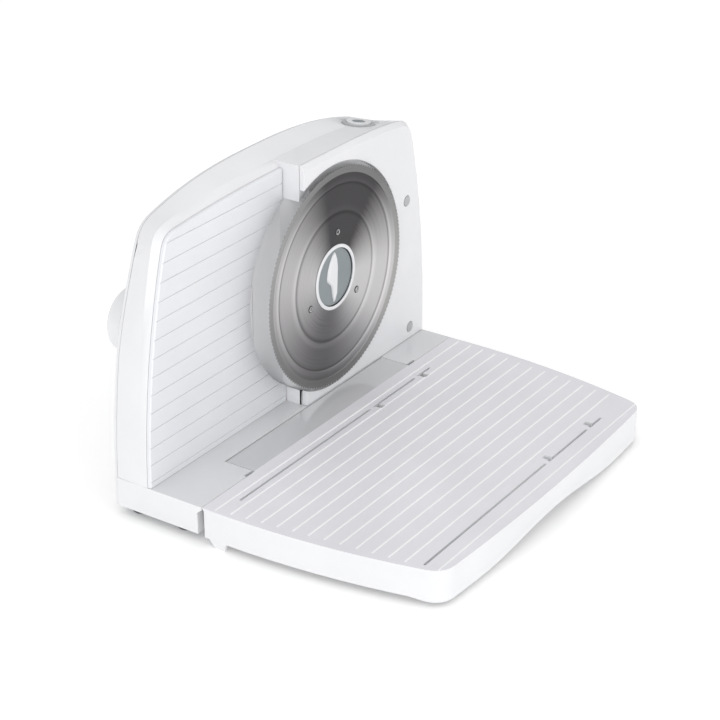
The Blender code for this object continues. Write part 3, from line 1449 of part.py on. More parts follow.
def worm_wheel():
    """Wheel on the spindle whose teeth lean with the worm's thread."""
    low, high = at_depth(WHEEL_DEPTH - WHEEL_WIDTH / 2), at_depth(WHEEL_DEPTH + WHEEL_WIDTH / 2)
    made = outline_solid("worm_wheel", [wheel_outline()], low, high)
    lean = WORM_PITCH / (2 * math.pi * WORM_RADIUS)
    for vertex in made.data.vertices:
        angle = -lean * (vertex.co.y - at_depth(WHEEL_DEPTH)) / WHEEL_RADIUS
        x, z = vertex.co.x - BLADE_X, vertex.co.z - BLADE_Z
        vertex.co.x = BLADE_X + x * math.cos(angle) - z * math.sin(angle)
        vertex.co.z = BLADE_Z + x * math.sin(angle) + z * math.cos(angle)
    cut(made, drum("wheel_bore", BLADE_X, BLADE_Z, SPINDLE_RADIUS + GAP, 0, REAR_DEPTH, 24))
    return finish(pivot(made, (BLADE_X, BLADE_PLANE, BLADE_Z)), natural_nylon())


def worm_thread():
    """One-start thread as a loft of its cross-section along a helix."""
    y = at_depth(WHEEL_DEPTH)
    root = WORM_CORE_RADIUS - BITE / 2
    section = (
        (root, -THREAD_ROOT_HALF),
        (WORM_TIP_RADIUS, -THREAD_TIP_HALF),
        (WORM_TIP_RADIUS, THREAD_TIP_HALF),
        (root, THREAD_ROOT_HALF),
    )
    steps_per_turn = 14
    sections = []
    for i in range(steps_per_turn * WORM_TURNS + 1):
        turn = i / steps_per_turn - WORM_TURNS / 2
        angle = math.pi + 2 * math.pi * turn
        z = BLADE_Z + WORM_PITCH / 2 + WORM_PITCH * turn
        ring = []
        for radius, rise in section:
            ring.append((WORM_X + radius * math.cos(angle), y + radius * math.sin(angle), z + rise))
        sections.append(ring)
    return loft("thread", sections)


def worm_shaft():
    """Shaft with the thread, turned by the motor."""
    y = at_depth(WHEEL_DEPTH)
    start = MOTOR_TOP_Z - SHAFT_SINK + GAP
    length = BRACKET_TOP_Z + BRACKET_THICK - start
    made = cylinder("worm_shaft", WORM_CORE_RADIUS, (WORM_X, y, start), length, "Z", 16)
    add(made, worm_thread())
    return finish(pivot(made, (WORM_X, y, BLADE_Z)), steel())


def motor_bracket():
    """Bracket on the box wall that holds the motor and both ends of the worm."""
    wall = BOX_DEPTH + WALL + GAP
    reach = WHEEL_DEPTH + BRACKET_REACH
    half = BRACKET_HALF_WIDTH
    low_half = half + LOW_ARM_EXTRA
    top_half = half - BITE
    top = BRACKET_TOP_Z + BRACKET_THICK
    low_top = BRACKET_LOW_Z + BRACKET_THICK
    web_depths = (wall, wall + BRACKET_THICK)
    web = block("motor_bracket", (WORM_X - half, WORM_X + half), web_depths, (BRACKET_LOW_Z, top))
    low = block("low_arm", (WORM_X - low_half, WORM_X + low_half), (wall, reach), (BRACKET_LOW_Z, low_top))
    top_depths = (wall + BITE, reach - TOP_ARM_LESS)
    arm = block("top_arm", (WORM_X - top_half, WORM_X + top_half), top_depths, (BRACKET_TOP_Z, top))
    add(web, low, arm)
    place = (WORM_X, at_depth(WHEEL_DEPTH), MOTOR_TOP_Z - FAR)
    cut(web, cylinder("shaft_holes", WORM_CORE_RADIUS + GAP, place, top - MOTOR_TOP_Z + 2 * FAR, "Z", 16))
    return finish(web, zinc())


def motor():
    y = at_depth(WHEEL_DEPTH)
    low = MOTOR_TOP_Z - MOTOR_LENGTH
    profile = [
        (0, -MOTOR_CAP_LENGTH),
        (MOTOR_CAP_RADIUS, -MOTOR_CAP_LENGTH),
        (MOTOR_CAP_RADIUS, 0),
        (MOTOR_RADIUS - MOTOR_EDGE, 0),
        (MOTOR_RADIUS, MOTOR_EDGE),
        (MOTOR_RADIUS, MOTOR_LENGTH - MOTOR_EDGE),
        (MOTOR_RADIUS - MOTOR_EDGE, MOTOR_LENGTH),
        (0, MOTOR_LENGTH),
    ]
    made = turned("motor", profile, (WORM_X, y, low), "Z", 30)
    place = (WORM_X, y, MOTOR_TOP_Z - SHAFT_SINK)
    cut(made, cylinder("shaft_bore", WORM_CORE_RADIUS + GAP, place, FAR, "Z", 16))
    return finish(made, zinc())


# Switch


def switch_ring():
    made = switch_drum("switch_ring", RING_RADIUS, -RING_SINK, RING_PROUD, 36)
    cut(made, switch_drum("ring_bore", BUTTON_RADIUS + GAP, -FAR / 3, FAR / 3, 36))
    return finish(made, grey_plastic())


def switch_button():
    """Round push button with a flange that keeps it in the ring and a stem."""
    made = switch_drum("switch_button", BUTTON_RADIUS, FLANGE_TOP - GAP, BUTTON_PROUD, 36)
    flange = switch_drum("flange", FLANGE_RADIUS, FLANGE_TOP - FLANGE_THICK, FLANGE_TOP, 30)
    stem = switch_drum("stem", STEM_RADIUS, STEM_END, FLANGE_TOP - GAP, 16)
    add(made, flange, stem)
    cut(made, switch_drum("dot", DOT_RADIUS, BUTTON_PROUD - DOT_SINK, FAR / 3, 24))
    return finish(pivot(made, (SWITCH_X, at_depth(SWITCH_DEPTH), SWITCH_Z)), white_gloss())


def micro_switch():
    """Small snap switch on its shelf, just under the button's stem."""
    y = at_depth(SWITCH_DEPTH)
    tip = Vector((0, 0, STEM_END - BUTTON_TRAVEL - GAP))
    tip.rotate(Matrix.Rotation(SWITCH_TILT, 3, "Y"))
    top = SWITCH_Z + tip.z - PLUNGER_LENGTH
    x = SWITCH_X + tip.x
    low_corner = (x - MICRO_HALF_LENGTH, y - MICRO_HALF_WIDTH, SHELF_Z + GAP)
    made = box("micro_switch", low_corner, (x + MICRO_HALF_LENGTH, y + MICRO_HALF_WIDTH, top))
    start = (x, y, top - BITE)
    add(made, cylinder("plunger", PLUNGER_RADIUS, start, BITE + PLUNGER_LENGTH / 2, "Z", 16))
    return finish(made, dark_plastic())


def cord_gland():
    """Rubber grommet in the back, where the mains cord enters."""
    back = REAR_DEPTH - WALL - BITE
    profile = [
        (GLAND_BORE_RADIUS, back),
        (GLAND_HOLE_RADIUS - GAP, back),
        (GLAND_HOLE_RADIUS - GAP, REAR_DEPTH + GAP),
        (GLAND_RIM_RADIUS, REAR_DEPTH + GAP),
        (GLAND_RIM_RADIUS - GLAND_EDGE, REAR_DEPTH + GLAND_PROUD),
        (GLAND_BORE_RADIUS, REAR_DEPTH + GLAND_PROUD),
    ]
    made = turned("cord_gland", profile, (GLAND_X, BLADE_PLANE, GLAND_Z), "Y", 24)
    return finish(made, black_rubber())


def build():
    main_housing()
    rear_cover()
    bottom_cover()
    base_feet()
    rear_cover_screws()
    bottom_cover_screws()
    blade_cover()
    cover_plugs()
    thickness_plate()
    plate_carrier()
    follower_pin()
    guide_rod("guide_rod_left", KNOB_X - GUIDE_SPREAD)
    guide_rod("guide_rod_right", KNOB_X + GUIDE_SPREAD)
    cam_barrel()
    thickness_knob()
    folding_table()
    table_feet()
    hinge_pin("hinge_pin_left", -1)
    hinge_pin("hinge_pin_right", 1)
    blade()
    blade_rivets()
    drive_hub()
    spindle()
    lock_bezel()
    lock_knob()
    bush("bush_front", BOX_DEPTH + BUSH_SPARE, FRONT_SEAT_END - BUSH_SPARE)
    bush("bush_rear", REAR_SEAT_START + BUSH_SPARE, SPINDLE_END_DEPTH + BITE)
    worm_wheel()
    worm_shaft()
    motor_bracket()
    motor()
    switch_ring()
    switch_button()
    micro_switch()
    cord_gland()


build()
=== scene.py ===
"""Food slicer with a ribbed folding table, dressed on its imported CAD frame.

Lengths are in metres, and MM turns millimetres into them. The table reaches towards -Y,
the blade turns about an axis along Y, and Z is up.
"""

import json
import math
from contextlib import contextmanager

import bmesh
import bpy
from mathutils import Matrix, Vector


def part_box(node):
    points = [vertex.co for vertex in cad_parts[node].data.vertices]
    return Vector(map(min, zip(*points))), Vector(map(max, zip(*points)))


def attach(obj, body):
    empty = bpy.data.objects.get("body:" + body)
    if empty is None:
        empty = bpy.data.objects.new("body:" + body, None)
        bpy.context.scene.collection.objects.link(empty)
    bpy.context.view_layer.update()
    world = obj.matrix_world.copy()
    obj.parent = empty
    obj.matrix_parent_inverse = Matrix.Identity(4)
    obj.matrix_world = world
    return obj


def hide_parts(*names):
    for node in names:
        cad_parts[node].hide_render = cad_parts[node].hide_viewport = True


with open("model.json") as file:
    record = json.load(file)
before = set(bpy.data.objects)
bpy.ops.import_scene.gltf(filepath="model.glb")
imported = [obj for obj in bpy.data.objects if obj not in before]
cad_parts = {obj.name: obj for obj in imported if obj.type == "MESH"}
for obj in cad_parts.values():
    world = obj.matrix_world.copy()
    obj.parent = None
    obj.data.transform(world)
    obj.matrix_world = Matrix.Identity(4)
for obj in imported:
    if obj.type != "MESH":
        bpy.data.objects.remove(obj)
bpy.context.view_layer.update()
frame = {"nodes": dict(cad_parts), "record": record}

MM = 0.001
Y_AXIS = (0, 1, 0)
WELD = 0.002 * MM  # points nearer than this become one
ONE_FLAT = math.radians(0.5)  # faces turned by less than this become one
FACING = 0.9  # a face looks a way when this much of its normal does


def corners(node):
    """Low and high corner of a CAD node."""
    low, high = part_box(node)
    return Vector(low), Vector(high)


# Places and sizes read from the frame

blade_low, blade_high = corners("blade")
cover_low, cover_high = corners("blade_cover")
lock_low, lock_high = corners("lock_knob")
bezel_low, bezel_high = corners("lock_bezel")
table_high = corners("folding_table")[1]
housing_low = corners("main_housing")[0]

BLADE_X = (blade_low.x + blade_high.x) / 2
BLADE_Z = (blade_low.z + blade_high.z) / 2
BLADE_EDGE_Y = blade_low.y
BLADE_CENTRE = Vector((BLADE_X, BLADE_EDGE_Y, BLADE_Z))
BLADE_RADIUS = (blade_high.z - blade_low.z) / 2
LOCK_RADIUS = (lock_high.z - lock_low.z) / 2
BEZEL_RADIUS = (bezel_high.z - bezel_low.z) / 2
STEP_X = cover_low.x  # left side of the motor box, under the guard
SEAM_Y = housing_low.y  # front edge of the base, where the table begins
RIB_HEIGHT = 0.5 * MM
TOP_Z = table_high.z - RIB_HEIGHT  # flat tops of the base and of the table


# Materials


class Tree:
    """A node tree, with the few kinds of node that the finishes are mixed from."""

    def __init__(self, tree):
        self.nodes, self.links = tree.nodes, tree.links

    def feed(self, node, inputs):
        """Links the node's sockets to outputs, or sets them to plain values."""
        for socket, value in inputs.items():
            if isinstance(value, bpy.types.NodeSocket):
                self.links.new(value, node.inputs[socket])
            else:
                node.inputs[socket].default_value = value

    def add(self, kind, inputs, **settings):
        """Adds a node, sets it up and feeds its sockets."""
        node = self.nodes.new(kind)
        for setting, value in settings.items():
            setattr(node, setting, value)
        self.feed(node, inputs)
        return node

    def place(self, centre=(0, 0, 0)):
        """Object coordinates, counted from a centre."""
        coordinates = self.add("ShaderNodeTexCoord", {})
        moved = self.add("ShaderNodeMapping", {
            "Vector": coordinates.outputs["Object"],
            "Location": [-distance for distance in centre],
        })
        return moved.outputs["Vector"]

    def vector(self, x=0.0, y=0.0, z=0.0):
        return self.add("ShaderNodeCombineXYZ", {"X": x, "Y": y, "Z": z}).outputs["Vector"]

    def math(self, operation, *values):
        step = self.add("ShaderNodeMath", dict(enumerate(values)), operation=operation)
        return step.outputs["Value"]

    def noise(self, vector, scale, detail, roughness=0.5):
        texture = self.add("ShaderNodeTexNoise", {
            "Vector": vector, "Scale": scale, "Detail": detail, "Roughness": roughness,
        })
        return texture.outputs["Fac"]

    def spread(self, value, low, high, start=0.0, end=1.0):
        """Runs from low to high while the value runs from start to end."""
        step = self.add("ShaderNodeMapRange", {
            "Value": value, "From Min": start, "From Max": end, "To Min": low, "To Max": high,
        })
        return step.outputs["Result"]

    def tint(self, value, dark, light, start=0.3, end=0.7):
        """Goes from dark to light while the value runs from start to end."""
        ramp = self.add("ShaderNodeValToRGB", {"Fac": value})
        first, last = ramp.color_ramp.elements
        first.position, first.color = start, (*dark, 1.0)
        last.position, last.color = end, (*light, 1.0)
        return ramp.outputs["Color"]

    def shaded(self, color, shade):
        """A colour made darker or lighter by a factor."""
        step = self.add("ShaderNodeVectorMath", {0: color, "Scale": shade}, operation="SCALE")
        return step.outputs["Vector"]

    def bump(self, height, strength, distance):
        step = self.add("ShaderNodeBump", {
            "Height": height, "Strength": strength, "Distance": distance,
        })
        return step.outputs["Normal"]


def new_finish(name, color, roughness, metallic=0.0):
    """A material of one colour, with its node tree and its shader."""
    finish = bpy.data.materials.new(f"{name}_finish")
    finish.use_nodes = True
    tree = Tree(finish.node_tree)
    shader = tree.nodes["Principled BSDF"]
    tree.feed(shader, {
        "Base Color": (*color, 1.0), "Roughness": roughness, "Metallic": metallic,
    })
    return finish, tree, shader


CLOUD_SCALE = 22.0  # slow change of shade in moulded plastic
MOULD_GRAIN_SCALE = 1400.0
MOULD_GRAIN_HEIGHT = 0.05 * MM
METAL_GRAIN_SCALE = 260.0
METAL_GRAIN_HEIGHT = 0.04 * MM
METAL_GRAIN = 0.15


def moulded_plastic(name, dark, light, roughness, grain=0.12, gloss=1.5):
    """Plastic with a very fine moulded grain and a faint change of shade."""
    finish, tree, shader = new_finish(name, light, roughness)
    cloud = tree.noise(tree.place(), CLOUD_SCALE, detail=3.0)
    fine = tree.noise(tree.place(), MOULD_GRAIN_SCALE, detail=2.0)
    tree.feed(shader, {
        "IOR": gloss,
        "Base Color": tree.tint(cloud, dark, light),
        "Roughness": tree.spread(cloud, roughness - 0.04, roughness + 0.05),
        "Normal": tree.bump(fine, grain, MOULD_GRAIN_HEIGHT),
    })
    return finish


def plain_metal(name, dark, light, roughness):
    """Metal as it is cast, drawn or rolled, with an even grain."""
    finish, tree, shader = new_finish(name, light, roughness, metallic=1.0)
    grain = tree.noise(tree.place(), METAL_GRAIN_SCALE, detail=4.0)
    tree.feed(shader, {
        "Base Color": tree.tint(grain, dark, light),
        "Roughness": tree.spread(grain, roughness - 0.06, roughness + 0.08),
        "Normal": tree.bump(grain, METAL_GRAIN, METAL_GRAIN_HEIGHT),
    })
    return finish


PAINTED_FANS = 2.0  # painted highlights in fans on the blade, and painted dark fans between them
PAINTED_FAN_TURN = 0.64  # radians that they are turned by
PAINTED_UPPER_SHADE = 0.22  # painted shade: how much darker the upper half is, and lighter the lower
LINE_SHADE = 0.13  # what the ground lines add to the shade or take from it
LINE_HEIGHT = 0.05 * MM
LINE_DRIFT = 0.6  # how fast the ground lines change round the blade
DRAWN_OUT = 0.75  # how far the lines draw the light out, from 0 to 1
# Painted shade and highlight over the radius in mm: dark in each pressed crease and bright
# beside it
PAINTED_CREASE_SHADE = (
    (47.0, 1.0), (49.3, 0.55), (51.0, 1.25), (56.0, 1.0),
    (69.5, 1.0), (71.2, 0.55), (72.6, 1.35), (76.0, 1.0),
)


def painted_crease_shade(tree, radius):
    """Painted shade in the creases and painted highlights beside them, over the radius. The
    curve ends at 1, so it holds half the shade.
    """
    curve = tree.add("ShaderNodeFloatCurve", {
        "Value": tree.math("DIVIDE", radius, BLADE_RADIUS),
    })
    points = curve.mapping.curves[0].points
    points[0].location, points[1].location = (0, 0.5), (1, 0.5)
    for place, shade in PAINTED_CREASE_SHADE:
        points.new(place / (BLADE_RADIUS / MM), shade / 2)
    for point in points:
        point.handle_type = "VECTOR"
    curve.mapping.update()
    return tree.math("MULTIPLY", curve.outputs["Value"], 2.0)


def blade_steel(name, dark, light, roughness, line_scale, line_depth):
    """Steel ground in circles round the blade's axis, which draws light out; bright and dark
    fans, a darker upper half and the crease shading are painted in as light and shade.
    """
    finish, tree, shader = new_finish(name, light, roughness, metallic=1.0)
    place = tree.add("ShaderNodeSeparateXYZ", {"Vector": tree.place(BLADE_CENTRE)})
    x, z = place.outputs["X"], place.outputs["Z"]
    squares = tree.math("ADD", tree.math("MULTIPLY", x, x), tree.math("MULTIPLY", z, z))
    radius = tree.math("SQRT", squares)
    angle = tree.math("ARCTAN2", z, x)

    across = tree.math("MULTIPLY", radius, line_scale)
    along = tree.math("MULTIPLY", angle, LINE_DRIFT)
    lines = tree.noise(tree.vector(across, along), scale=1.0, detail=5.0, roughness=0.65)

    # Painted light and shade: bright and dark fans round the blade, and a darker upper half
    turned = tree.math("ADD", tree.math("MULTIPLY", angle, PAINTED_FANS), PAINTED_FAN_TURN)
    fans = tree.spread(tree.math("COSINE", turned), 0.0, 1.0, start=-1.0, end=1.0)
    ground = tree.spread(lines, -LINE_SHADE, LINE_SHADE, start=0.2, end=0.8)
    upper = tree.math("MULTIPLY", tree.math("SINE", angle), -PAINTED_UPPER_SHADE)
    shade = tree.math("ADD", tree.math("ADD", fans, ground), upper)
    steel = tree.tint(shade, dark, light, start=0.0, end=1.0)
    # The steel's colour carries the painted fans and the painted shade and highlights at the
    # creases
    tree.feed(shader, {
        "Base Color": tree.shaded(steel, painted_crease_shade(tree, radius)),
        "Roughness": tree.spread(lines, roughness - 0.06, roughness + 0.10),
        "Normal": tree.bump(lines, line_depth, LINE_HEIGHT),
        "Tangent": tree.vector(tree.math("MULTIPLY", z, -1.0), 0.0, x),
        "Anisotropic": DRAWN_OUT,
    })
    return finish


# Darkest and lightest shade, roughness, and for some the grain and the index of refraction
PLASTICS = {
    "white_gloss": ((0.735, 0.740, 0.755), (0.765, 0.770, 0.785), 0.24),
    "white_satin": ((0.720, 0.730, 0.755), (0.750, 0.760, 0.785), 0.40),
    "table_white": ((0.705, 0.700, 0.735), (0.740, 0.735, 0.770), 0.30),
    # ribs painted lighter as the highlight they catch
    "rib_painted_highlight": ((0.870, 0.870, 0.880), (0.910, 0.910, 0.920), 0.20, 0.04, 1.6),
    # glossy, with a darker grey that is painted shade from the upright
    "glossy_flats_painted_shade": ((0.650, 0.655, 0.670), (0.680, 0.685, 0.700), 0.12, 0.03, 1.8),
    # glossy, with a darker grey that is painted shade under the blade
    "glossy_tongue_painted_shade": ((0.540, 0.545, 0.560), (0.570, 0.575, 0.590), 0.10, 0.03, 1.9),
    "pale_grey": ((0.40, 0.41, 0.42), (0.45, 0.46, 0.47), 0.40),
    "grey_plastic": ((0.22, 0.25, 0.26), (0.26, 0.29, 0.30), 0.42),
    "dark_plastic": ((0.05, 0.05, 0.06), (0.08, 0.08, 0.09), 0.40),
    "nylon": ((0.70, 0.68, 0.60), (0.78, 0.76, 0.68), 0.45),
    "rubber": ((0.06, 0.06, 0.07), (0.10, 0.10, 0.11), 0.75, 0.4),
}
# Darkest and lightest shade and roughness
METALS = {
    "steel": ((0.42, 0.42, 0.43), (0.58, 0.58, 0.59), 0.30),
    "zinc": ((0.50, 0.50, 0.50), (0.64, 0.64, 0.62), 0.42),
    "bronze": ((0.38, 0.24, 0.12), (0.50, 0.34, 0.18), 0.45),
    # painted shadow: a near black put in hollows where shade falls
    "painted_shadow": ((0.05, 0.05, 0.05), (0.10, 0.10, 0.10), 0.45),
}
# Darkest and lightest shade, which the painted fans and ground lines run between, roughness,
# and the scale and depth of the ground lines
BLADE_STEELS = {
    "ground_disc": ((0.060, 0.057, 0.060), (0.60, 0.59, 0.59), 0.34, 2400.0, 0.25),
    "ground_bevel": ((0.20, 0.20, 0.20), (0.40, 0.395, 0.39), 0.30, 1500.0, 0.20),
}
FINISHES = {
    name: make(name, *look)
    for make, looks in (
        (moulded_plastic, PLASTICS), (plain_metal, METALS), (blade_steel, BLADE_STEELS),
    )
    for name, look in looks.items()
}


def dress_frame():
    """Gives every CAD node the finish of its slot."""
    slots = {part["node"]: part["material_slot"] for part in frame["record"]["subparts"]}
    for name, node in frame["nodes"].items():
        node.data.materials.clear()
        node.data.materials.append(FINISHES[slots[name]])


# Ways of working


def only(made):
    """Selects one piece and nothing else."""
    bpy.ops.object.select_all(action="DESELECT")
    made.select_set(True)
    bpy.context.view_layer.objects.active = made


@contextmanager
def editing(made):
    """Holds a piece in edit mode for the lines under it."""
    only(made)
    bpy.ops.object.mode_set(mode="EDIT")
    yield
    bpy.ops.object.mode_set(mode="OBJECT")


def settled(made, name):
    """Names a new primitive and takes its place over into its mesh."""
    made.name = name
    only(made)
    bpy.ops.object.transform_apply(location=True, rotation=True, scale=True)
    return made


def select_points(made, test):
    """Selects, in edit mode, the points whose place passes a test."""
    bpy.ops.mesh.select_mode(type="VERT")
    bpy.ops.mesh.select_all(action="DESELECT")
    data = bmesh.from_edit_mesh(made.data)
    for vertex in data.verts:
        vertex.select_set(test(vertex.co))
    data.select_flush(True)
    bmesh.update_edit_mesh(made.data)


def select_faces(made, test):
    """Selects, in edit mode, the faces whose middle and normal pass a test."""
    bpy.ops.mesh.select_mode(type="FACE")
    bpy.ops.mesh.select_all(action="DESELECT")
    data = bmesh.from_edit_mesh(made.data)
    for face in data.faces:
        face.select_set(test(face.calc_center_median(), face.normal))
    bmesh.update_edit_mesh(made.data)


def push(way):
    """Extrudes the selected faces along a way."""
    bpy.ops.mesh.extrude_region_move(TRANSFORM_OT_translate={"value": way})


def edges_bevelled(made, width, segments=2, angle=32):
    """Rounds the edges that are sharper than an angle."""
    edge = made.modifiers.new("moulded_edges", "BEVEL")
    edge.width = width
    edge.segments = segments
    edge.limit_method = "ANGLE"
    edge.angle_limit = math.radians(angle)
    only(made)
    bpy.ops.object.modifier_apply(modifier=edge.name)


def flats_kept_flat(made):
    """Weights the shading to the large faces, so only the rounded edges catch light."""
    level = made.modifiers.new("flat_faces", "WEIGHTED_NORMAL")
    level.keep_sharp = True
    only(made)
    bpy.ops.object.modifier_apply(modifier=level.name)


def put_finishes(made, main, *others):
    """Puts a main finish on a piece, and others on the faces that pass their tests."""
    made.data.materials.clear()
    for finish in (main, *(finish for finish, test in others)):
        made.data.materials.append(FINISHES[finish])
    with editing(made):
        for index, (finish, test) in enumerate(others, start=1):
            select_faces(made, test)
            made.active_material_index = index
            bpy.ops.object.material_slot_assign()


def hand_over(made, body, finish, node=None, smooth=34):
    """Gives a finished piece its shading, its finish, its body and what it stands for."""
    only(made)
    bpy.ops.object.shade_smooth_by_angle(angle=math.radians(smooth))
    flats_kept_flat(made)
    if not made.data.materials:
        made.data.materials.append(FINISHES[finish])
    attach(made, body)
    if node:
        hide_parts(node)
    return made


def from_node(name, node, edge=0.0):
    """A piece that starts as a merged copy of a CAD node, with its edges rounded."""
    made = bpy.data.objects.new(name, frame["nodes"][node].data.copy())
    bpy.context.scene.collection.objects.link(made)
    made.data.materials.clear()
    with editing(made):
        bpy.ops.mesh.select_all(action="SELECT")
        bpy.ops.mesh.remove_doubles(threshold=WELD)
        bpy.ops.mesh.dissolve_limited(angle_limit=ONE_FLAT)
    if edge:
        edges_bevelled(made, edge)
    return made


def spun(name, profile, centre, steps):
    """A piece turned about Y: a line drawn point by point and spun round a centre.

    The profile holds (radius, depth), counted from the centre. It starts and ends on the
    axis, or comes back to its first point round a bore.
    """
    bpy.ops.object.select_all(action="DESELECT")
    first = (centre.x + profile[0][0], centre.y + profile[0][1], centre.z)
    bpy.ops.mesh.primitive_plane_add(size=MM, location=first)
    made = settled(bpy.context.object, name)
    with editing(made):
        bpy.ops.mesh.select_mode(type="VERT")
        bpy.ops.mesh.select_all(action="SELECT")
        bpy.ops.mesh.merge(type="CENTER")
        for (radius, depth), (next_radius, next_depth) in zip(profile, profile[1:]):
            way = (next_radius - radius, next_depth - depth, 0)
            bpy.ops.mesh.extrude_vertices_move(TRANSFORM_OT_translate={"value": way})
        bpy.ops.mesh.select_all(action="SELECT")
        bpy.ops.mesh.spin(steps=steps, angle=2 * math.pi, center=centre, axis=Y_AXIS)
        bpy.ops.mesh.select_all(action="SELECT")
        bpy.ops.mesh.remove_doubles(threshold=WELD)
        bpy.ops.mesh.normals_make_consistent(inside=False)
    return made


def out_from(centre, place):
    """Distance from an axis along Y through a centre."""
    return math.hypot(place.x - centre.x, place.z - centre.z)


# Blade and its lock

TEETH = 160
TOOTH_DEPTH = 1.3 * MM
BEVEL_WIDTH = 6.2 * MM
FLUTE_DEPTH = 0.35 * MM  # how far the bevel is ground in between two teeth
FLUTE_PLACE = 3.0 * MM  # from the rim to the middle of the bevel
ON_RING = 0.3 * MM  # points this near to a ring of the blade belong to it
BLADE_SMOOTH = 20  # degrees, below which the blade is shaded as one face
BORE_GAP = 0.3 * MM  # between the lock and what is round it
BORE_FRONT, BORE_BACK = 1.7 * MM, 3.0 * MM
# Faces of the blade, as mm in from the rim and mm behind its edge
BLADE_FRONT = (
    (37.5, 1.7), (36.0, 1.9), (34.8, 2.0), (32.0, 1.75), (29.0, 1.65),  # inner crease
    (14.4, 1.35), (13.6, 1.4), (12.9, 1.1), (12.0, 0.9), (6.6, 0.75),  # outer crease
    (6.0, 0.5), (3.0, 0.28), (0.0, 0.02),  # bevel
)
BLADE_BACK = ((0.0, 0.25), (6.0, 1.8), (13.0, 2.4), (35.0, 3.0))


def between_teeth(place):
    """True for the points halfway between two teeth."""
    turn = math.atan2(place.z - BLADE_Z, place.x - BLADE_X)
    return round(turn / (math.pi / TEETH)) % 2 == 1


def valley(place):
    """Points of the rim between two teeth."""
    return out_from(BLADE_CENTRE, place) > BLADE_RADIUS - ON_RING and between_teeth(place)


def flute(place):
    """Points in the middle of the bevel, in front and between two teeth."""
    off_ring = abs(out_from(BLADE_CENTRE, place) - (BLADE_RADIUS - FLUTE_PLACE))
    in_front = place.y < BLADE_EDGE_Y + 0.5 * MM
    return off_ring < ON_RING and between_teeth(place) and in_front


def bevel_face(middle, normal):
    return out_from(BLADE_CENTRE, middle) > BLADE_RADIUS - BEVEL_WIDTH


def blade_disc():
    """Dished disc with a ground bevel and a wavy edge."""
    bore = LOCK_RADIUS + BORE_GAP
    faces = [
        (BLADE_RADIUS - inward * MM, depth * MM) for inward, depth in BLADE_FRONT + BLADE_BACK
    ]
    profile = [(bore, BORE_FRONT), *faces, (bore, BORE_BACK), (bore, BORE_FRONT)]
    made = spun("blade_disc", profile, BLADE_CENTRE, 2 * TEETH)
    with editing(made):
        select_points(made, valley)
        shrink = 1 - TOOTH_DEPTH / BLADE_RADIUS
        bpy.ops.transform.resize(value=(shrink, 1, shrink), center_override=BLADE_CENTRE)
        select_points(made, flute)
        bpy.ops.transform.translate(value=(0, FLUTE_DEPTH, 0))
    put_finishes(made, "ground_disc", ("ground_bevel", bevel_face))
    return hand_over(made, "blade_set", "ground_disc", "blade", BLADE_SMOOTH)


# Front of a rivet, as mm out from its axis and mm behind its highest ring
RIVET_FRONT = (
    (0, 0.75), (1.15, 0.7), (1.3, 0.2), (1.6, 0.02), (2.1, 0.0), (2.6, 0.12), (2.8, 0.4),
)
RIVET_BRIGHT = (1.3 * MM, 2.2 * MM)  # inner and outer radius of the bright ring; painted shadow lies inside and outside it
RIVET_SHANK = 2.2 * MM
RIVET_SIDES = 24


def rivet_head(number):
    """Rolled rivet: a bright steel ring, with painted shadow in its hollow middle and round its
    edge.
    """
    node = f"blade_rivet_{number}"
    low, high = corners(node)
    centre = Vector(((low.x + high.x) / 2, low.y, (low.z + high.z) / 2))
    radius, back = (high.x - low.x) / 2, high.y - low.y
    drawn_radius, rim = RIVET_FRONT[-1][0], RIVET_FRONT[-1][1] * MM
    profile = [(out / drawn_radius * radius, depth * MM) for out, depth in RIVET_FRONT]
    profile += [(RIVET_SHANK, rim), (RIVET_SHANK, back), (0, back)]
    made = spun(f"rivet_head_{number}", profile, centre, RIVET_SIDES)
    inner, outer = RIVET_BRIGHT
    # Painted shadow in the hollow middle and round the edge of the head
    put_finishes(made, "steel", ("painted_shadow", lambda middle, normal: (
        not inner < out_from(centre, middle) < outer
    )))
    return hand_over(made, "blade_set", "steel", node)


LOCK_SIDES = 72
# Crowned face of the ring, in two halves: mm from its bore or from its outer edge, and
# mm behind the blade's edge
RING_FROM_BORE = ((0.0, 1.0), (0.35, 0.68), (1.2, 0.6))
RING_FROM_EDGE = ((0.7, 0.68), (0.15, 0.95), (0.0, 1.2))


def lock_ring():
    """Narrow white ring round the lock, with a softly crowned face."""
    inner, outer = LOCK_RADIUS + BORE_GAP, BEZEL_RADIUS
    back = bezel_high.y - BLADE_EDGE_Y
    face = [(inner + out * MM, depth * MM) for out, depth in RING_FROM_BORE]
    face += [(outer - inward * MM, depth * MM) for inward, depth in RING_FROM_EDGE]
    profile = [(inner, back), *face, (outer, back), (inner, back)]
    made = spun("lock_ring", profile, BLADE_CENTRE, LOCK_SIDES)
    return hand_over(made, "blade_set", "white_gloss", "lock_bezel")


DISH_FRONT = lock_low.y + 1.6 * MM - BLADE_EDGE_Y  # rim of the lock's dish
DISH_DEPTH = 0.35 * MM
DISH_THICKNESS = 1.6 * MM
LOCK_SHANK = 3.0 * MM
# Face and side of the dish, as mm in from its edge and mm behind its front
DISH_FACE = ((5.0, 0.2), (2.2, 0.05), (1.6, 0.0), (0.3, 0.0), (0.0, 0.3), (0.0, 1.5))


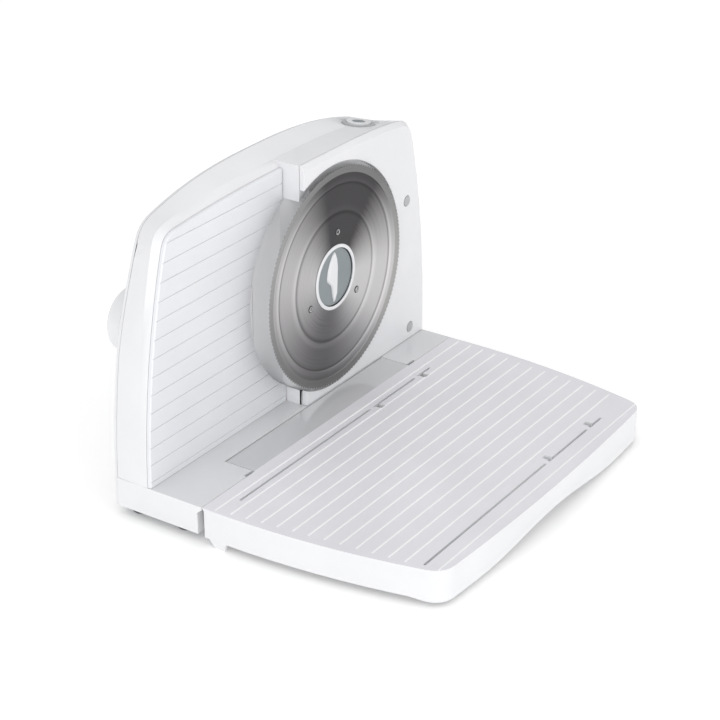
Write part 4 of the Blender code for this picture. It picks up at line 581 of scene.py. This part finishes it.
def lock_disc():
    """Shallow grey dish that the grip stands in, with its shank."""
    back, under = lock_high.y - BLADE_EDGE_Y, DISH_FRONT + DISH_THICKNESS
    face = [(LOCK_RADIUS - inward * MM, DISH_FRONT + depth * MM) for inward, depth in DISH_FACE]
    shank = [(LOCK_SHANK, under), (LOCK_SHANK, back), (0, back)]
    profile = [(0, DISH_FRONT + DISH_DEPTH), *face, *shank]
    made = spun("lock_disc", profile, BLADE_CENTRE, LOCK_SIDES)
    return hand_over(made, "blade_lock", "grey_plastic", "lock_knob")


GRIP_FOOT = lock_low.y + 1.9 * MM
GRIP_FRONT = lock_low.y + 0.1 * MM
GRIP_EDGE = 0.5 * MM
GRIP_TAPER = (0.8, 1, 0.94)  # size of its front beside its foot
GRIP_MIDDLE = (BLADE_X - 1.5 * MM, GRIP_FOOT, BLADE_Z)
# Leaf-shaped outline of the grip, as shares of the lock's radius
GRIP_OUTLINE = (
    (0.0, 0.92), (0.11, 0.68), (0.16, 0.36), (0.14, 0.0), (0.12, -0.36), (0.10, -0.63),
    (-0.08, -0.91), (-0.14, -0.68), (-0.18, -0.40), (-0.23, -0.25), (-0.42, -0.07),
    (-0.44, 0.05), (-0.39, 0.32), (-0.27, 0.59), (-0.13, 0.81),
)


def lock_grip():
    """White grip: a filled outline pushed forward, tapered and rounded."""
    bpy.ops.object.select_all(action="DESELECT")
    bpy.ops.mesh.primitive_circle_add(
        vertices=len(GRIP_OUTLINE),
        radius=LOCK_RADIUS / 2,
        location=(BLADE_X, GRIP_FOOT, BLADE_Z),
        rotation=(math.pi / 2, 0, 0),
    )
    made = settled(bpy.context.object, "lock_grip")
    for vertex, (x, z) in zip(made.data.vertices, GRIP_OUTLINE):
        vertex.co = (BLADE_X + x * LOCK_RADIUS, GRIP_FOOT, BLADE_Z + z * LOCK_RADIUS)
    with editing(made):
        bpy.ops.mesh.select_mode(type="VERT")
        bpy.ops.mesh.select_all(action="SELECT")
        bpy.ops.mesh.edge_face_add()
        push((0, GRIP_FRONT - GRIP_FOOT, 0))
        bpy.ops.transform.resize(value=GRIP_TAPER, center_override=GRIP_MIDDLE)
        bpy.ops.mesh.select_all(action="SELECT")
        bpy.ops.mesh.normals_make_consistent(inside=False)
    edges_bevelled(made, GRIP_EDGE, segments=3, angle=40)
    return hand_over(made, "blade_lock", "white_gloss")


# Switch

SWITCH_TILT = math.radians(9)  # slope of the housing's top under the switch
DOT_RADIUS = 5.0 * MM
DOT_THICKNESS = 0.3 * MM
DOT_HEIGHT = 2.35 * MM  # from the middle of the ring to the middle of the dot
DOT_RIM = 0.6 * MM
DOT_HOLLOW = 0.15 * MM
DOT_EDGE = 0.08 * MM
DOT_SIDES = 40


def switch_dot():
    """Dark round window in the middle of the button."""
    ring_low, ring_high = corners("switch_ring")
    out = Vector((math.sin(SWITCH_TILT), 0, math.cos(SWITCH_TILT)))
    bpy.ops.object.select_all(action="DESELECT")
    bpy.ops.mesh.primitive_cylinder_add(
        vertices=DOT_SIDES,
        radius=DOT_RADIUS,
        depth=DOT_THICKNESS,
        location=(ring_low + ring_high) / 2 + out * DOT_HEIGHT,
        rotation=(0, SWITCH_TILT, 0),
    )
    made = settled(bpy.context.object, "switch_dot")
    with editing(made):
        select_faces(made, lambda middle, normal: normal.dot(out) > FACING)
        bpy.ops.mesh.inset(thickness=DOT_RIM)
        bpy.ops.transform.translate(value=out * -DOT_HOLLOW)
    edges_bevelled(made, DOT_EDGE)
    return hand_over(made, "button", "grey_plastic")


# Pieces that start from the frame

NEAR_TOP = 0.1 * MM
NEAR_STEP = 0.2 * MM
BASE_TOP_REACH = 30 * MM  # how far behind the blade's edge the base top is glossy and painted darker as shade
TONGUE_START = SEAM_Y + 0.2 * MM  # where its gloss and painted shade begin
TONGUE_END = table_high.y - 0.5 * MM  # the points behind it are the tongue's rear edge
TONGUE_GAP = 0.7 * MM  # open joint between the tongue and the base
SLOT_WIDTH = 1.6 * MM
SLOT_DEPTH = 1.6 * MM
SLOT_FRONT = cover_high.y + 0.8 * MM
SLOT_REAR = SLOT_FRONT + SLOT_WIDTH


def flat_top(middle, normal):
    """Flat tops of the base, the tongue and the table between its ribs."""
    return normal.z > FACING and abs(middle.z - TOP_Z) < NEAR_TOP


def base_top(middle, normal):
    """Glossy top of the base in front of the upright, painted a darker grey as shade."""
    return flat_top(middle, normal) and middle.y < BLADE_EDGE_Y + BASE_TOP_REACH


def tongue_top(middle, normal):
    """Glossy top of the tongue that reaches into the base, painted a darker grey as shade."""
    return flat_top(middle, normal) and middle.y > SEAM_Y


def table_top(middle, normal):
    """Top of the table between its ribs, in front of the tongue."""
    return flat_top(middle, normal) and middle.y < SEAM_Y


def rib_face(middle, normal):
    """Tops and flanks of the table's ribs, painted lighter as a highlight."""
    return middle.z > TOP_Z + NEAR_TOP


def step_side(middle, normal):
    """Side of the motor box under the guard, below the middle of the blade."""
    on_side = normal.x < -0.99 and abs(middle.x - STEP_X) < NEAR_STEP
    return on_side and middle.z < BLADE_Z


def slot_mouth(middle, normal):
    return step_side(middle, normal) and SLOT_FRONT < middle.y < SLOT_REAR


def slot_face(middle, normal):
    """Walls and bottom of the slot under the guard, painted dark as shadow."""
    inside = STEP_X + NEAR_STEP < middle.x < STEP_X + SLOT_DEPTH + NEAR_STEP
    beside = SLOT_FRONT - MM < middle.y < SLOT_REAR + MM
    return inside and beside and middle.z < BLADE_Z


def housing_shell():
    """Housing, with the upright slot under the guard, behind the blade's cover, painted dark
    inside as shadow, and its glossy base top painted darker as shade.
    """
    made = from_node("housing_shell", "main_housing")
    with editing(made):
        for depth in (SLOT_FRONT, SLOT_REAR):
            select_faces(made, step_side)
            bpy.ops.mesh.bisect(plane_co=(0, depth, 0), plane_no=Y_AXIS)
        select_faces(made, slot_mouth)
        push((SLOT_DEPTH, 0, 0))
    # Painted shade on the glossy base top, and painted shadow in the slot
    put_finishes(made, "white_gloss", ("glossy_flats_painted_shade", base_top), ("painted_shadow", slot_face))
    return hand_over(made, "housing", "white_gloss", "main_housing")


def table_shell():
    """Ribbed table, with an edge where its glossy tongue with painted shade begins and a joint
    behind it.
    """
    made = from_node("table_shell", "folding_table", edge=0.35 * MM)
    with editing(made):
        bpy.ops.mesh.select_all(action="SELECT")
        bpy.ops.mesh.bisect(plane_co=(0, TONGUE_START, 0), plane_no=Y_AXIS)
        select_points(made, lambda place: place.y > TONGUE_END)
        bpy.ops.transform.translate(value=(0, -TONGUE_GAP, 0))
    # Painted shade on the glossy tongue, and a painted highlight on the ribs
    put_finishes(
        made,
        "white_gloss",
        ("glossy_tongue_painted_shade", tongue_top),
        ("table_white", table_top),
        ("rib_painted_highlight", rib_face),
    )
    return hand_over(made, "table", "white_gloss", "folding_table")


def moulded(name, node, body, finish, edge=0.0):
    """A piece that is its CAD node with rounded edges, or sharp ones where edge is 0."""
    return hand_over(from_node(name, node, edge), body, finish, node)


def moulded_pieces():
    """Housing, plate, table, dial, switch and plugs, which all start from the frame."""
    housing_shell()
    moulded("back_shell", "rear_cover", "housing", "white_gloss")
    moulded("blade_surround", "blade_cover", "housing", "white_gloss", edge=0.5 * MM)
    moulded("plate_skin", "thickness_plate", "plate", "white_satin", edge=0.2 * MM)
    table_shell()
    moulded("thickness_dial", "thickness_knob", "adjuster", "white_gloss", edge=0.4 * MM)
    moulded("switch_collar", "switch_ring", "housing", "pale_grey", edge=0.25 * MM)
    moulded("switch_cap", "switch_button", "button", "white_gloss", edge=0.25 * MM)
    for number in (1, 2):
        plug = f"cover_plug_{number}"
        moulded(f"plug_cap_{number}", plug, "housing", "pale_grey", edge=0.15 * MM)


# Floor, light and camera

FLOOR_SIZE = 12
FLOOR_COLOR = (0.97, 0.97, 0.97)
FLOOR_ROUGHNESS = 0.7
FLOOR_GLOW = 0.12
WHITE = (1.0, 1.0, 1.0, 1.0)
SKY_WAY = (-0.25, -0.167, 0.95)  # the room is brightest there
SKY_DIM, SKY_BRIGHT = 0.40, 1.12  # its strength away from there and towards it
SKY_DIM_UP_TO, SKY_BRIGHT_FROM = -0.3, 0.95  # dot products with that way
# Name, place, what it is aimed at, size and power in watts
LIGHTS = (
    ("side_light", (-1.7, -0.6, 0.5), (0, 0, 0.1), 1.2, 5.5),
    ("front_light", (-0.3, -1.9, 0.5), (0, 0, 0.1), 1.2, 4.5),
    ("low_light", (-1.3, -1.3, 0.12), (0, 0, 0.09), 0.9, 4.5),
)
CAMERA_AZIMUTH = math.radians(-56.19)
CAMERA_ELEVATION = math.radians(26.33)
CAMERA_PLACE = (-1.0843, -0.7044, 0.7257)
FOCAL_LENGTH, SENSOR_WIDTH = 101.154, 36  # these two in millimetres
FARTHEST_SEEN = 20


def lay_floor():
    """Plain pale floor that glows a little, so it stays white round the shadows."""
    bpy.ops.object.select_all(action="DESELECT")
    bpy.ops.mesh.primitive_plane_add(size=FLOOR_SIZE, location=(0, 0, 0))
    floor = settled(bpy.context.object, "pale_floor")
    finish, tree, shader = new_finish("pale_floor", FLOOR_COLOR, FLOOR_ROUGHNESS)
    tree.feed(shader, {"Emission Color": WHITE, "Emission Strength": FLOOR_GLOW})
    floor.data.materials.append(finish)


def soft_light(name, place, aim, size, power):
    """Square light that faces a point."""
    data = bpy.data.lights.new(name, "AREA")
    data.shape = "SQUARE"
    data.size = size
    data.energy = power
    lamp = bpy.data.objects.new(name, data)
    lamp.location = place
    lamp.rotation_euler = (Vector(aim) - Vector(place)).to_track_quat("-Z", "Y").to_euler()
    bpy.context.scene.collection.objects.link(lamp)


def light_studio():
    """White room that is brightest overhead and to the left, with three soft lights."""
    world = bpy.data.worlds.new("studio")
    world.use_nodes = True
    tree = Tree(world.node_tree)
    toward = tree.add(
        "ShaderNodeVectorMath", {0: tree.place(), 1: SKY_WAY}, operation="DOT_PRODUCT"
    ).outputs["Value"]
    tree.feed(tree.nodes["Background"], {
        "Color": WHITE,
        "Strength": tree.spread(toward, SKY_DIM, SKY_BRIGHT, SKY_DIM_UP_TO, SKY_BRIGHT_FROM),
    })
    bpy.context.scene.world = world
    bpy.context.scene.view_settings.view_transform = "Standard"
    for light in LIGHTS:
        soft_light(*light)


def place_camera():
    """Camera at the photograph's angle, distance and focal length."""
    right = Vector((math.cos(CAMERA_AZIMUTH), math.sin(CAMERA_AZIMUTH), 0))
    back = Vector((
        math.sin(CAMERA_AZIMUTH) * math.cos(CAMERA_ELEVATION),
        -math.cos(CAMERA_AZIMUTH) * math.cos(CAMERA_ELEVATION),
        math.sin(CAMERA_ELEVATION),
    ))
    up = back.cross(right)
    data = bpy.data.cameras.new("camera")
    data.lens = FOCAL_LENGTH
    data.sensor_width = SENSOR_WIDTH
    data.clip_end = FARTHEST_SEEN
    camera = bpy.data.objects.new("camera", data)
    turned = Matrix((right, up, back)).transposed().to_4x4()
    camera.matrix_world = Matrix.Translation(CAMERA_PLACE) @ turned
    bpy.context.scene.collection.objects.link(camera)
    bpy.context.scene.camera = camera


dress_frame()
moulded_pieces()
blade_disc()
for number in (1, 2, 3):
    rivet_head(number)
lock_ring()
lock_disc()
lock_grip()
switch_dot()
lay_floor()
light_studio()
place_camera()
